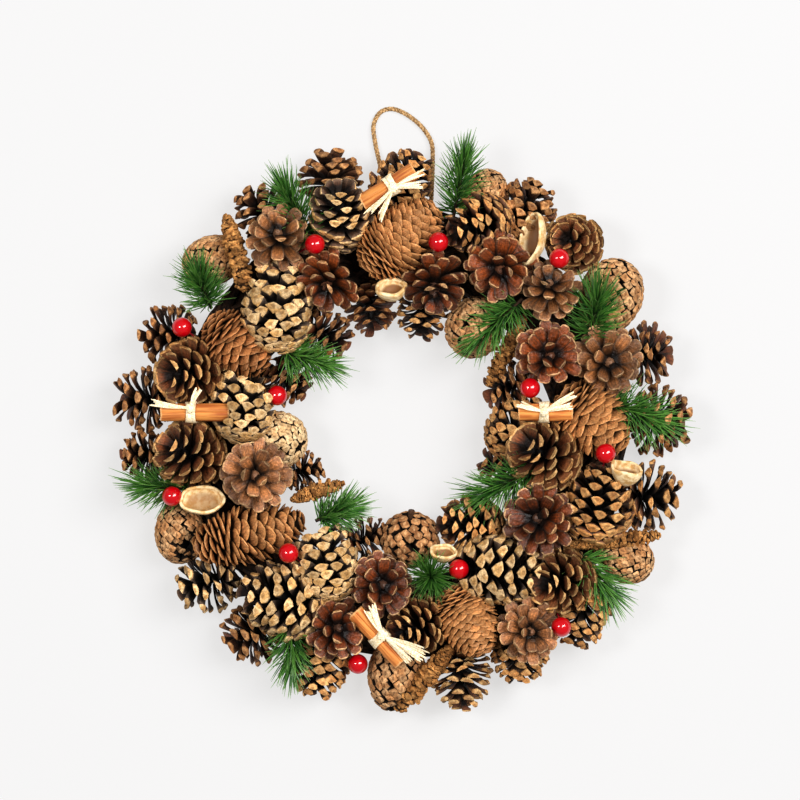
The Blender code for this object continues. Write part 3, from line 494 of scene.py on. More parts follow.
@dataclass(frozen=True)
class Spindle:
    """An axis with scales: the two ends, the radius and how the scales stand."""

    ends: tuple[Array, Array]
    radius: float
    growth: Growth
    seed: int

    def grow(self, heap: Heap, finish: int = 0, obstacles: Sequence[Capsule] = ()) -> None:
        """Adds the scales and a core to a heap.

        Tip i lies at the sine of latitude v that goes evenly through the span, and at i golden angles round
        the axis. Its distance from the axis is radius times the root of 1 - v squared, times 1 - egg v. Its
        middle line is root + ray length s + lift bend, where the ray is the outward direction turned by the
        tilt towards the apex, the lift is square to it and the bend is bow sin(pi s) - curl s cubed.

        Args:
            heap: The piece that the cone is part of.
            finish: The place of the cone's finish among the piece's finishes.
            obstacles: What the scales keep out of.
        """
        draw = np.random.default_rng(self.seed)
        growth, cut, count = self.growth, self.growth.cut.value, self.growth.scales
        base, apex = self.ends
        length = float(np.linalg.norm(apex - base))
        axis = (apex - base) / length
        side, other = square_to(axis)
        number = np.arange(count)
        low, high = growth.span
        level = low + (high - low) * ((number + 0.5) / count) ** growth.crowding
        latitude = np.arcsin(level) / (math.pi / 2)
        first, last = -growth.past[0] * self.radius, length + growth.past[1] * self.radius
        station = first + (last - first) * (1 + level) / 2
        distance = self.radius * np.sqrt(1 - level**2) * (1 - growth.egg * level)
        tilt = np.radians(from_base(latitude, growth.tilts))
        head = from_base(latitude, growth.head)
        half_width = self.half_widths(distance, station, from_base(latitude, growth.fill), head)
        extent = (distance - growth.core * self.radius) / np.maximum(np.cos(tilt), 0.05)
        extent = np.clip(extent, 0.3 * self.radius, growth.longest * self.radius)

        # Lower scales keep closer to their place than upper ones.
        angle = number * GOLDEN_ANGLE + draw.uniform(0, 2 * math.pi) + draw.normal(0, growth.bearing, count)
        out = around(angle, side, other)
        root = base + np.outer(station, axis) + out * distance[:, None]
        root = root - around(tilt, out, axis) * extent[:, None]
        scatter = 0.3 + 0.7 * (number + 0.5) / count
        tilt = tilt + np.radians(growth.lean) * scatter * draw.uniform(-1, 1, count)
        ray, lift = around(tilt, out, axis), around(tilt, axis, -out)
        across, twist = np.cross(ray, lift), draw.normal(0, growth.twist, count)
        across, lift = around(twist, across, lift), around(twist, lift, -across)
        reach = ray * (extent * (1 + growth.uneven * scatter * draw.uniform(-1, 1, count)))[:, None]
        share = self.room(root, reach, obstacles)
        kept = share > 0
        reach = reach * share[:, None]

        s, outline = np.array(cut.along), np.array(cut.wide)
        bend = self.radius * (growth.bow * np.sin(math.pi * s) - growth.curl * s**3)
        middle = root[:, None] + reach[:, None] * s[:, None] + lift[:, None] * bend[:, None]
        half_width = half_width * (1 + draw.uniform(-growth.width, growth.width, count))
        thick = growth.blade + (head[:, None] - growth.blade) * np.array(cut.thick)
        thick = half_width[:, None] * thick * np.minimum(1, 0.3 + outline)
        ragged = 1 + growth.ragged * draw.uniform(-1, 1, (count, 1, cut.sides))
        wide, high = cut.section()
        spread = (half_width[:, None] * outline)[..., None] * wide * ragged
        raised = thick[..., None] * high * ragged
        rings = middle[:, :, None] + spread[..., None] * across[:, None, None]
        rings = rings + raised[..., None] * lift[:, None, None]
        slant = cut.slant * smooth_step(s, 0.5, 0.88)[:, None] * raised
        rings = rings + slant[..., None] * ray[:, None, None]
        tone = draw.uniform(0, 1, count)[kept, None, None]
        heap.add(rings[kept], finish, along=s[:, None], across=np.abs(wide), inner=cut.inward(), tone=tone)
        self.add_core(heap, finish, side, other)

    def half_widths(self, radius: Array, station: Array, fill: Array, head: Array) -> Array:
        """Gives the half width of each head from its share of the surface that the tips lie on.

        That share is 2 pi times the radius times the step along the profile from one scale to the next. A
        head of half width w covers cover times head times w squared of it.

        Args:
            radius: The distance of each tip from the axis.
            station: The height of each tip along the axis.
            fill: How much of its share's width and height a head takes.
            head: The half thickness of each head as a share of its half width.

        Returns:
            One half width for each scale.
        """
        step = np.hypot(np.gradient(radius), np.gradient(station))
        area = 2 * math.pi * np.maximum(radius, 0.25 * self.radius) * step
        return fill * np.sqrt(area / (self.growth.cut.value.cover() * head))

    def add_core(self, heap: Heap, finish: int, side: Array, other: Array) -> None:
        """Adds the woody core under the scales: a spindle of radius core times the root of sin(1.12 pi u).

        Args:
            heap: The piece that the cone is part of.
            finish: The place of the cone's finish among the piece's finishes.
            side: A direction square to the axis.
            other: The direction square to both.
        """
        base, apex = self.ends
        share = np.linspace(0.06, 0.74, 9)
        core = max(0.9 * self.growth.core, 0.12) * self.radius * np.sin(math.pi * share * 1.12) ** 0.5
        core[-1] *= 0.4
        spoke = around(full_turn(10), side, other)
        rings = base + np.outer(share, apex - base)[:, None] + core[:, None, None] * spoke
        # The core is marked as near a blade's root, so it takes the dark painted root shade.
        heap.add(rings[None], finish, along=0.2, tone=0.2)

    def room(self, anchor: Array, reach: Array, obstacles: Sequence[Capsule]) -> Array:
        """Finds the largest share of each scale's length that keeps it out of every obstacle, or nought.

        Args:
            anchor: Where each scale starts.
            reach: The way from there to its tip.
            obstacles: What it keeps out of.

        Returns:
            One share for each scale.
        """
        share = np.zeros(len(reach))
        s = np.linspace(0.35, 1.0, 5)[:, None]
        for trial in (1.0, 0.88, 0.76, 0.64, 0.52, 0.4):
            points = anchor[:, None] + reach[:, None] * s * trial
            blocked = np.zeros(len(reach), bool)
            for bar in obstacles:
                blocked |= bar.holds(points).any(axis=1)
            share[~blocked & (share == 0)] = trial
        return share


# The settings of a map that eases in and out, and of a mix of two colours.
SMOOTH = {"interpolation_type": "SMOOTHSTEP"}
COLOUR = {"data_type": "RGBA"}


class Nodes:
    """A material's node tree, to which nodes are added one by one."""

    def __init__(self, name: str) -> None:
        """Starts a material with only a Principled BSDF and its output."""
        self.material = bpy.data.materials.new(name)
        self.material.use_nodes = True
        self.tree = self.material.node_tree

    def wire(self, node: bpy.types.Node, inputs: Mapping[str | int, object]) -> None:
        """Links each input that is given a socket, and sets the others to their values.

        Args:
            node: The node.
            inputs: For each input, by name or number, a socket to link or a value to set.
        """
        for key, value in inputs.items():
            if isinstance(value, bpy.types.NodeSocket):
                self.tree.links.new(value, node.inputs[key])
            else:
                node.inputs[key].default_value = value

    def add(
        self, kind: str, inputs: Mapping[str | int, object], output: str | int = 0, **settings: object
    ) -> bpy.types.NodeSocket:
        """Adds a node with its settings and links.

        Args:
            kind: The node's type name without its Shader Node start.
            inputs: For each input, by name or number, a socket to link or a value to set.
            output: The output that is wanted, by name or number.
            settings: The node's own properties.

        Returns:
            That output.
        """
        node = self.tree.nodes.new("ShaderNode" + kind)
        for key, value in settings.items():
            setattr(node, key, value)
        self.wire(node, inputs)
        return node.outputs[output]

    def lay(self, below: object, above: object, value: object, *course: float) -> bpy.types.NodeSocket:
        """Lays a colour over another by a share that follows a value smoothly.

        Args:
            below: The colour underneath.
            above: The colour laid over it.
            value: What the share follows.
            course: The values between which the share changes, then the share at each, if not 0 and 1.

        Returns:
            The mixed colour.
        """
        share = self.add("MapRange", dict(enumerate((value, *course))), **SMOOTH)
        return self.add("Mix", {0: share, 6: below, 7: above}, 2, **COLOUR)

    def shade(self, colour: object, value: object, *course: float) -> bpy.types.NodeSocket:
        """Multiplies a colour by a factor that follows a value smoothly.

        Args:
            colour: The colour.
            value: What the factor follows.
            course: The values between which the factor changes, then the factor at each.

        Returns:
            The scaled colour.
        """
        factor = self.add("MapRange", dict(enumerate((value, *course))), **SMOOTH)
        return self.add("VectorMath", {0: colour, "Scale": factor}, operation="SCALE")

    def noise(self, size: float, detail: float) -> bpy.types.NodeSocket:
        """Noise on object coordinates whose grains have a size in millimetres."""
        place = self.add("TexCoord", {}, "Object")
        return self.add("TexNoise", {"Vector": place, "Scale": MM_PER_METRE / size, "Detail": detail})

    def fibres(self, lengthwise: float, crosswise: float, mark: str) -> bpy.types.NodeSocket:
        """Makes noise that is drawn out along a piece, and starts elsewhere for each tone.

        Args:
            lengthwise: How many cells go to the piece's length.
            crosswise: How many cells go to the reach of the mark across it.
            mark: That mark.

        Returns:
            The noise.
        """
        parts = {}
        for axis, (name, cells) in enumerate((("along", lengthwise), (mark, crosswise), ("tone", 9.0))):
            value = self.add("Attribute", {}, "Fac", attribute_name=name)
            parts[axis] = self.add("Math", {0: value, 1: cells}, operation="MULTIPLY")
        return self.add("TexNoise", {"Vector": self.add("CombineXYZ", parts), "Scale": 1.0, "Detail": 5.0})

    def done(self, inputs: Mapping[str | int, object]) -> bpy.types.Material:
        """Links or sets the shader's own sockets and returns the material."""
        self.wire(self.tree.nodes["Principled BSDF"], inputs)
        return self.material


@dataclass(frozen=True)
class DryScales:
    """Wood of a dry cone: lignin-brown blades with a paler, weathered shield at each end.

    The blade's inner side is redder than its outer one, streaked lengthwise, and turns to a grey-brown
    fringe at its sides and below the head. Towards its root the blade is darkened as painted shade, the
    shield is the palest part, and a darker umbo marks its middle. The pale part starts sooner on the outer
    side, by the apron. The eye reads the pale shields against the dark gaps, which are partly painted shade.
    """

    name: str
    outer: str
    inner: str
    fringe: str
    shield: str
    rim: str
    umbo: str
    # At a blade's root its colour is multiplied by this, as painted shade in the gaps between scales.
    painted_root_shade: float = 0.06
    shield_start: float = 0.92
    apron: float = 0.05
    roughness: float = 0.72
    specular: float = 0.35
    # The shares of the way along a blade over which the painted root shade lifts to full colour.
    shade: Pair = (0.42, 0.94)
    spread: float = 0.27
    relief: float = 1.1
    # Real sizes in mm: the dust and pits on a shield, its weathered blotches, and the crumbs that stand up.
    grain_size: float = 1.3
    blotch_size: float = 6.0
    crumb_size: float = 2.4

    def make(self) -> bpy.types.Material:
        """Mixes blade, fringe, shield and umbo by how far along and across its scale a point lies."""
        nodes, start = Nodes(self.name), self.shield_start
        values = (nodes.add("Attribute", {}, "Fac", attribute_name=mark) for mark in MARKS)
        along, across, inner, tone = values
        fringe = linear(self.fringe)
        blade = nodes.add("Mix", {0: inner, 6: linear(self.outer), 7: linear(self.inner)}, 2, **COLOUR)
        blade = nodes.shade(blade, nodes.fibres(2.5, 6.0, "across"), 0.3, 0.7, 0.62, 1.35)
        blade = nodes.lay(blade, fringe, across, 0.62, 1.0, 0.0, 0.8)
        blade = nodes.lay(blade, fringe, along, 0.55, start, 0.0, 0.65)
        # Painted shade: each blade darkens towards its root, where the gaps between scales lie in shade.
        blade = nodes.shade(blade, along, *self.shade, self.painted_root_shade, 1.0)
        blotch = nodes.noise(self.blotch_size, 2.0)
        shield = nodes.lay(linear(self.shield), linear(self.rim), blotch, 0.38, 0.62)
        shield = nodes.lay(shield, linear(self.umbo), along, 0.975, 0.992, 0.0, 0.7)
        tip = nodes.add("MapRange", {0: along, 1: start, 2: start + 0.03}, **SMOOTH)
        sooner = start - self.apron
        back = nodes.add("MapRange", {0: along, 1: sooner, 2: sooner + 0.05, 3: 1.0, 4: 0.0}, **SMOOTH)
        back = nodes.add("Math", {0: back, 1: inner}, operation="MAXIMUM")
        back = nodes.add("MapRange", {0: back, 1: 0.4, 2: 0.9, 3: 1.0, 4: 0.0}, **SMOOTH)
        pale = nodes.add("Math", {0: tip, 1: back}, operation="MAXIMUM")
        colour = nodes.add("Mix", {0: pale, 6: blade, 7: shield}, 2, **COLOUR)
        colour = nodes.shade(colour, tone, 0.0, 1.0, 0.93 - self.spread, 0.93 + self.spread)
        colour = nodes.shade(colour, nodes.noise(self.grain_size, 4.0), 0.32, 0.68, 0.72, 1.16)
        crumbs = nodes.noise(self.crumb_size, 6.0)
        bump = nodes.add("Bump", {"Height": crumbs, "Distance": self.relief * MM, "Strength": 1.0})
        surface = {"Roughness": self.roughness, "Specular IOR Level": self.specular, "Normal": bump}
        return nodes.done({"Base Color": colour, **surface})


@dataclass(frozen=True)
class Petals(DryScales):
    """The thin, smooth scales of an open rosette: bare wood nearly to the shield, with a faint sheen."""

    painted_root_shade: float = 0.02
    shield_start: float = 0.93
    apron: float = 0.08
    roughness: float = 0.45
    specular: float = 0.4
    spread: float = 0.36


@dataclass(frozen=True)
class Plates(DryScales):
    """The shields of a closed cone: dull and weathered, with the seams between them painted dark as shade.
    """

    painted_root_shade: float = 0.2
    shield_start: float = 0.868
    apron: float = 0.0
    roughness: float = 0.8
    specular: float = 0.3
    shade: Pair = (0.34, 0.86)
    spread: float = 0.2
    relief: float = 0.6


@dataclass(frozen=True)
class Shingles(DryScales):
    """Thin spruce scales: all blade, no shield, honey-brown with paler edges, painted shade at the root."""

    painted_root_shade: float = 0.04
    shield_start: float = 1.2
    apron: float = 0.0
    roughness: float = 0.5
    shade: Pair = (0.5, 0.76)
    spread: float = 0.2
    relief: float = 0.3


@dataclass(frozen=True)
class Grain:
    """A fibrous or woody finish: two colours mixed by a noise, with a bump from the same noise.

    The size of its grains is a real one in millimetres. Where fibres is set, the noise follows the piece
    instead: so many cells along it and so many round it, which the eye reads as bark or fibre drawn out
    lengthwise.
    """

    name: str
    dark: str
    pale: str
    size: float = 1.0
    roughness: float = 0.75
    relief: float = 0.3
    end: str = ""
    fibres: tuple[float, ...] = ()

    def make(self) -> bpy.types.Material:
        """Mixes the colours by noise and by the piece's tone, with the third where the across mark is high.

        If there is a third, it marks a stick's pale cut ends, or a pod's inside as painted shade.
        """
        nodes = Nodes(self.name)
        values = (nodes.add("Attribute", {}, "Fac", attribute_name=mark) for mark in ("across", "tone"))
        across, tone = values
        grain = nodes.fibres(*self.fibres, "inner") if self.fibres else nodes.noise(self.size, 5.0)
        colour = nodes.lay(linear(self.dark), linear(self.pale), grain, 0.34, 0.66)
        colour = nodes.shade(colour, tone, 0.0, 1.0, 0.74, 1.2)
        if self.end:
            colour = nodes.lay(colour, linear(self.end), across, 0.1, 0.9)
        bump = nodes.add("Bump", {"Height": grain, "Distance": self.relief * MM, "Strength": 1.0})
        return nodes.done({"Base Color": colour, "Roughness": self.roughness, "Normal": bump})


@dataclass(frozen=True)
class Evergreen:
    """Waxy conifer needles: painted shade nearly black at the root, green along, paler tip, soft sheen."""

    name: str = "waxy evergreen needles"

    def make(self) -> bpy.types.Material:
        """Mixes greens by each needle's tone and by the way along it."""
        nodes = Nodes(self.name)
        along, tone = (nodes.add("Attribute", {}, "Fac", attribute_name=mark) for mark in ("along", "tone"))
        green = nodes.add("Mix", {0: tone, 6: linear("265a20"), 7: linear("649640")}, 2, **COLOUR)
        # Painted shade: nearly black near each needle's root, where the needles crowd.
        green = nodes.lay(green, linear("0e2413"), along, 0.0, 0.45, 0.9, 0.0)
        green = nodes.lay(green, linear("9cb878"), along, 0.75, 1.0, 0.0, 0.5)
        return nodes.done({"Base Color": green, "Roughness": 0.36, "Specular IOR Level": 0.5})


@dataclass(frozen=True)
class Lacquer:
    """Red lacquer on a berry: deep red under a clear, glossy coat that shows the windows."""

    name: str = "red berry lacquer"
    patch_size: float = 9.0

    def make(self) -> bpy.types.Material:
        """Deep red, darker in slow patches of a real size in mm."""
        nodes = Nodes(self.name)
        patches = nodes.noise(self.patch_size, 1.0)
        colour = nodes.add("Mix", {0: patches, 6: linear("b80012"), 7: linear("d20418")}, 2, **COLOUR)
        coat = {"Coat Weight": 1.0, "Coat Roughness": 0.03, "Coat IOR": 1.65}
        return nodes.done({"Base Color": colour, "Roughness": 0.3, "Specular IOR Level": 0.1, **coat})


class Finish(Enum):
    """Every finish. Dry scales list their outer, inner, fringe, shield, rim and umbo colours."""

    # Half-open and open cones: golden-tan, straw-pale and dark brown, by how long each has weathered.
    TAN_SHIELDS = DryScales(
        "dry pine scales, tan shields", "4a3328", "86492a", "836a55", "cb9156", "e1b175", "a67545"
    )
    PALE_SHIELDS = DryScales(
        "dry pine scales, pale shields", "47352b", "7a5036", "887361", "dcae70", "f2cf9c", "b18552"
    )
    BROWN_SHIELDS = DryScales(
        "dry pine scales, brown shields", "50301e", "8a4a2a", "78573f", "a87444", "cc9a66", "80502c",
        roughness=0.6, specular=0.4, shade=(0.22, 0.84),
    )
    # Tiered cones: brown blades that show at their full width, with narrow tan lips.
    BROWN_BLADES = DryScales(
        "half-open cone, brown blades", "4c3022", "92512c", "84603f", "cd9a60", "e8c086", "aa7c4a",
        painted_root_shade=0.04, shield_start=0.895, apron=0.06, roughness=0.6, specular=0.4, shade=(0.28, 0.84),
    )
    # Rosettes: smooth wood from dark red-brown to tan, under narrow pale lips.
    RED_PETALS = Petals(
        "open rosette, red-brown petals", "4c2815", "b05a28", "6f4c38", "b88a5e", "d2a87a", "84603e",
        roughness=0.4, specular=0.45, shade=(0.28, 0.86),
    )
    DARK_PETALS = Petals(
        "open rosette, dark petals", "381d10", "9a4c20", "64493a", "b88c60", "d2aa7c", "84623f",
        roughness=0.4, specular=0.45, shade=(0.3, 0.88),
    )
    SOFT_PETALS = Petals(
        "open rosette, grey-brown petals", "5d3f2c", "b07240", "8c6a50", "b88c60", "d0a87c", "84643f",
        shade=(0.26, 0.84),
    )
    BRIGHT_PETALS = Petals(
        "open rosette, tan petals", "6c4830", "cc8a56", "946e54", "bc9064", "d2aa7e", "88683f",
        shade=(0.22, 0.8),
    )
    # Closed cones: tan, sun-bleached, and brown with paler knobs. Their blades are dark, nearly black,
    # painted shade for the seams between the shields.
    CLOSED_SHIELDS = Plates(
        "closed cone, tan shields", "1c120a", "1c120a", "2c1c10", "c08c5c", "e0b484", "7c5434"
    )
    BLEACHED_SHIELDS = Plates(
        "closed cone, bleached shields", "2e2014", "2e2014", "4a3826", "e2bb8a", "f8dcae", "9c7a52",
        roughness=0.85, shade=(0.3, 0.8), spread=0.12,
    )
    BROWN_KNOBS = Plates(
        "closed cone, brown knobs", "1c120a", "1c120a", "2c1c10", "a27148", "cc9a6a", "dcb080",
        shield_start=0.87,
    )
    # Spruce cones: honey-brown shingles, and darker ones with deeper painted shade in the gaps.
    SPRUCE_SHINGLES = Shingles(
        "spruce cone shingles", "be8352", "8a522e", "e2a86c", "cc9058", "e6b076", "f2be82"
    )
    LOOSE_SHINGLES = Shingles(
        "open spruce cone shingles", "b67748", "784522", "d29862", "cc9058", "e6b076", "f2be82",
        painted_root_shade=0.02, shade=(0.45, 0.8), spread=0.26,
    )
    # Golden, crumbly catkins.
    CATKIN_LUMPS = DryScales(
        "dry catkin lumps", "6b4019", "7a4b1d", "8f6132", "9a6a38", "d09a5c", "6c441c",
        painted_root_shade=0.2, shield_start=0.5, apron=0.0, roughness=0.85,
    )
    # Vine bark, dark brown and deepened nearly to black as painted shade in the gaps, fibrous jute,
    # red-brown bark with pale cut ends, straw-pale raffia and cream shell, darkened inside as painted shade.
    TWIGS = Grain("grapevine bark", "150c06", "4a301d", 3.0, 0.85, 0.8)
    JUTE = Grain("jute fibre", "8d6a42", "cfac7c", 1.1, 0.9)
    CINNAMON = Grain("cinnamon bark", "b0632c", "dc9850", roughness=0.66, end="e2b077", fibres=(2.0, 60.0))
    RAFFIA = Grain("raffia fibre", "e6cd9c", "fbf0d6", 0.9, 0.6, 0.2)
    SHELL = Grain("seed pod shell", "cda468", "f3deb4", 3.5, 0.55, end="8a6034")
    NEEDLES = Evergreen()
    BERRY = Lacquer()
    # The berries' red wires.
    WIRE = Grain("berry wire", "a3182a", "c42a3c", 2.0, 0.4, 0.0)

    @property
    def material(self) -> bpy.types.Material:
        """The finish's material, made the first time that it is asked for."""
        return bpy.data.materials.get(self.value.name) or self.value.make()


@dataclass(frozen=True)
class Cone:
    """A pine cone by the middle of its axis, where its apex points, its length, its radius and its looks."""

    middle: Point
    azimuth: float
    lift: float
    length: float
    radius: float
    form: Form
    finish: Finish

    @property
    def ends(self) -> tuple[Array, Array]:
        """The base and the apex."""
        middle, half = np.array(self.middle), heading(self.azimuth, self.lift) * self.length / 2
        return middle - half, middle + half


OPEN, TIERED, ROSETTE = Form.OPEN, Form.TIERED, Form.ROSETTE
HALF, SMALL, CLOSED, KNOBBED = Form.HALF_OPEN, Form.SMALL, Form.CLOSED, Form.KNOBBED
TAN, PALE, BROWN = Finish.TAN_SHIELDS, Finish.PALE_SHIELDS, Finish.BROWN_SHIELDS
RED, DARK, SOFT, BRIGHT = Finish.RED_PETALS, Finish.DARK_PETALS, Finish.SOFT_PETALS, Finish.BRIGHT_PETALS
SHUT, BLEACHED, KNOBS = Finish.CLOSED_SHIELDS, Finish.BLEACHED_SHIELDS, Finish.BROWN_KNOBS
BLADES = Finish.BROWN_BLADES

# The bunches run anticlockwise from the wreath's right, as the nodes do.
PINE_CONES = (
    (
        Cone((130, 83, 26), -110, -20, 46, 21.5, CLOSED, SHUT),
        Cone((91, 48, 50), 0, 85, 36, 23.5, ROSETTE, RED),
        Cone((127, 44, 46), 0, 80, 36, 24.5, ROSETTE, SOFT),
        Cone((154, 49, 24), 0, 20, 26, 22, OPEN, BROWN),
        Cone((162, 8, 22), -10, 0, 32, 25, OPEN, BROWN),
    ),
    (
        Cone((53, 151, 24), 70, -20, 30, 16, CLOSED, SHUT),
        Cone((46, 130, 46), 200, 35, 40, 20.5, HALF, TAN),
        Cone((77, 140, 28), 55, 0, 36, 22, HALF, BROWN),
        Cone((61, 104, 48), -90, 75, 36, 24.5, ROSETTE, RED),
        Cone((108, 119, 32), 160, 70, 40, 20, TIERED, BLADES),
        Cone((92, 89, 51), 100, 65, 34, 20.5, ROSETTE, SOFT),
    ),
    (
        Cone((46, 68, 30), 70, -35, 36, 19.5, CLOSED, SHUT),
        Cone((-48, 61, 28), -30, 0, 30, 19, SMALL, BROWN),
        Cone((-20, 78, 28), -80, 20, 30, 18, SMALL, BROWN),
        Cone((20, 94, 48), -90, 50, 38, 22.5, ROSETTE, DARK),
        Cone((13, 75, 26), -95, 5, 32, 18, SMALL, TAN),
    ),
    (
        Cone((-45, 160, 24), 95, -15, 28, 23, OPEN, BROWN),
        Cone((-38, 137, 46), 95, 40, 40, 21.5, HALF, PALE),
        Cone((1, 157, 30), 60, 10, 40, 21, HALF, TAN),
        Cone((-78, 80, 46), 90, -15, 50, 24, HALF, PALE),
        Cone((-117, 109, 26), 20, 0, 36, 17, CLOSED, SHUT),
        Cone((-86, 138, 26), 135, -10, 36, 20, OPEN, BROWN),
        Cone((-77, 121, 50), 90, 70, 34, 23, ROSETTE, SOFT),
        Cone((-45, 96, 48), -120, 60, 38, 22.5, ROSETTE, RED),
    ),
    (
        Cone((-99, 21, 44), 90, -20, 46, 21.5, HALF, PALE),
        Cone((-132, 38, 42), 190, 50, 40, 24, TIERED, BLADES),
        Cone((-146, 61, 22), 185, -5, 32, 22.5, OPEN, BROWN),
        Cone((-162, 21, 22), 180, 0, 34, 22.5, OPEN, BROWN),
    ),
    (
        Cone((-92, -26, 52), 0, 85, 36, 24.5, ROSETTE, BRIGHT),
        Cone((-80, -4, 30), 170, -35, 34, 19.5, CLOSED, BLEACHED),
        Cone((-63, -24, 22), 10, 0, 26, 14.5, SMALL, BROWN),
        Cone((-132, -14, 42), 150, 45, 42, 24, TIERED, BLADES),
        Cone((-163, -14, 20), 185, 0, 26, 18.5, SMALL, BROWN),
        Cone((-72, 33, 22), -40, 0, 28, 18, SMALL, BROWN),
    ),
    (
        Cone((-42, -121, 48), 0, 75, 36, 22.5, ROSETTE, DARK),
        Cone((-52, -148, 24), -100, 0, 34, 21.5, HALF, TAN),
        Cone((-140, -61, 22), 95, 0, 36, 17, CLOSED, SHUT),
        Cone((-122, -93, 24), 200, 0, 36, 21.5, OPEN, PALE),
        Cone((-76, -104, 44), 170, 10, 46, 26.5, HALF, PALE),
        Cone((-94, -126, 22), 210, -5, 32, 22, SMALL, BROWN),
    ),
    (
        Cone((37, -152, 28), -90, 15, 38, 21, TIERED, BLADES),
        Cone((5, -69, 28), -90, -25, 30, 20, KNOBBED, KNOBS),
        Cone((-13, -94, 50), 0, 82, 36, 22.5, ROSETTE, DARK),
        Cone((11, -120, 44), 200, 35, 40, 20.5, TIERED, BLADES),
        Cone((-4, -154, 24), -100, -5, 42, 19.5, CLOSED, SHUT),
        Cone((-23, -67, 24), 20, 0, 28, 15.5, SMALL, BROWN),
        Cone((-48, -79, 46), 100, -15, 44, 21.5, HALF, PALE),
    ),
    (
        Cone((61, -86, 46), -5, 5, 52, 24, HALF, PALE),
        Cone((100, -92, 44), 190, 50, 40, 23, TIERED, BLADES),
        Cone((78, -123, 48), 0, 80, 36, 22.5, ROSETTE, BRIGHT),
        Cone((112, -115, 28), -105, 0, 38, 19.5, HALF, TAN),
        Cone((74, -141, 24), -90, 0, 30, 20, HALF, TAN),
        Cone((42, -58, 32), 170, 20, 36, 20.5, HALF, TAN),
    ),
    (
        Cone((67, 29, 24), 200, 10, 30, 18, SMALL, BROWN),
        Cone((73, 5, 26), 60, 0, 38, 20.5, HALF, TAN),
        Cone((89, -14, 46), 150, 45, 44, 25, TIERED, BLADES),
        Cone((63, -21, 24), 160, 10, 28, 15.5, SMALL, BROWN),
        Cone((123, -43, 41), 78, 8, 44, 24, HALF, TAN),
        Cone((155, -40, 22), 0, 5, 34, 24, OPEN, TAN),
        Cone((86, -54, 50), 150, 75, 36, 24.5, ROSETTE, DARK),
        Cone((138, -77, 26), 150, -10, 36, 16.5, CLOSED, SHUT),
    ),
)


@dataclass(frozen=True)
class Shoot:
    """A spruce cone, catkin or sprig by the two ends of its axis and its radius."""

    ends: tuple[Point, Point]
    radius: float

    @property
    def corners(self) -> tuple[Array, Array]:
        """The two ends as arrays."""
        return np.array(self.ends[0], float), np.array(self.ends[1], float)


SPRUCE_CONES = (
    Shoot(((-24, 101, 46), (23, 142, 46)), 21.5),
    Shoot(((-121, 72, 44), (-84, 38, 44)), 19),
    Shoot(((99, 27, 44), (139, -11, 44)), 22),
    Shoot(((30, -95, 46), (52, -139, 46)), 19),
    Shoot(((-131, -72, 41.6), (-59, -54, 41.6)), 19),
)

CATKINS = (
    Shoot(((-110, 137, 44), (-97, 87, 46)), 6.5),
    Shoot(((77, 74, 40), (54, 29, 30)), 5.5),
    Shoot(((104, -70, 46), (163, -64, 30)), 5),
    Shoot(((31.8, -132.5, 43.8), (-3.7, -175, 26.8)), 6.5),
    Shoot(((-70, -42, 44), (-36, -31, 40)), 5),
)

SPRIGS = (
    Shoot(((32.5, 137, 38), (39, 170, 46)), 21.5),
    Shoot(((-59, 123, 42), (-72, 150, 52)), 23.5),
    Shoot(((118, 61, 44), (121, 83, 56)), 25),
    Shoot(((-120, 80, 42), (-127, 97, 52)), 21.5),
    Shoot(((-74, 51, 46), (-50, 43, 42)), 21.5),
    Shoot(((72, 81, 46), (48, 59, 48)), 21.5),
    Shoot(((131, 17.5, 43), (159, 7.5, 41)), 25),
    Shoot(((83, -23, 44), (50, -39, 40)), 25),
    Shoot(((112, -77, 44), (127, -98, 38)), 25),
    Shoot(((18, -89, 40), (18, -89, 54)), 21.5),
    Shoot(((-52, -54, 44), (-35, -47, 42)), 20.5),
    Shoot(((-134, -35, 35), (-160, -33, 35)), 21.5),
    Shoot(((-70, -120, 46), (-69, -145, 40)), 21.5),
)


@dataclass(frozen=True)
class Berry:
    """A berry's middle and where its wire stem ends."""

    middle: Point
    stem: Point


BERRY_RADIUS = 6.25
BERRIES = (
    Berry((-54, 117.2, 60), (-66, 112, 42)),
    Berry((22.5, 118.4, 62), (27, 116, 46)),
    Berry((97.5, 108.4, 58), (98, 104, 44)),
    Berry((-137.2, 65.9, 46), (-126, 56, 36)),
    Berry((-77.8, 23.4, 48), (-83, 25, 36)),
    Berry((79.5, 28, 55.2), (82, 33, 38)),
    Berry((126.3, -12.5, 58.2), (125.5, -20.5, 44)),
    Berry((98.8, -120.3, 56), (97, -113, 42)),
    Berry((35.3, -84.4, 56), (33, -81, 42)),
    Berry((-27.6, -144.3, 42), (-31, -134, 30)),
    Berry((-143.4, -39.4, 46), (-138, -44, 34)),
    Berry((-70.3, -74.3, 60), (-63, -81, 43)),
)


@dataclass(frozen=True)
class Stick:
    """A cinnamon stick by its ends, with the knot of its tie and where each strand of raffia ends."""

    ends: tuple[Point, Point]
    knot: tuple[float, float]
    strands: tuple[tuple[float, float], ...]


STICKS = (
    Stick(
        ((-25, 142.5, 56.6), (8, 163, 56.6)),
        (-5.6, 152),
        ((-22, 134.5), (-14, 132), (14, 163), (14, 154)),
    ),
    Stick(((-150, 13, 56), (-107, 13, 56)), (-131, 15.6), ((-157, 19), (-126, 27.5))),
    Stick(((72, 13.2, 58), (106, 13, 58)), (88, 13.4), ((71, 18), (107, 24), (107, 18))),
    Stick(
        ((-29.4, -110.6, 59), (0, -142, 59)),
        (-12, -125),
        ((-23, -107.5), (-18, -105.6), (16, -135.6), (14, -140), (8, -144)),
    ),
)


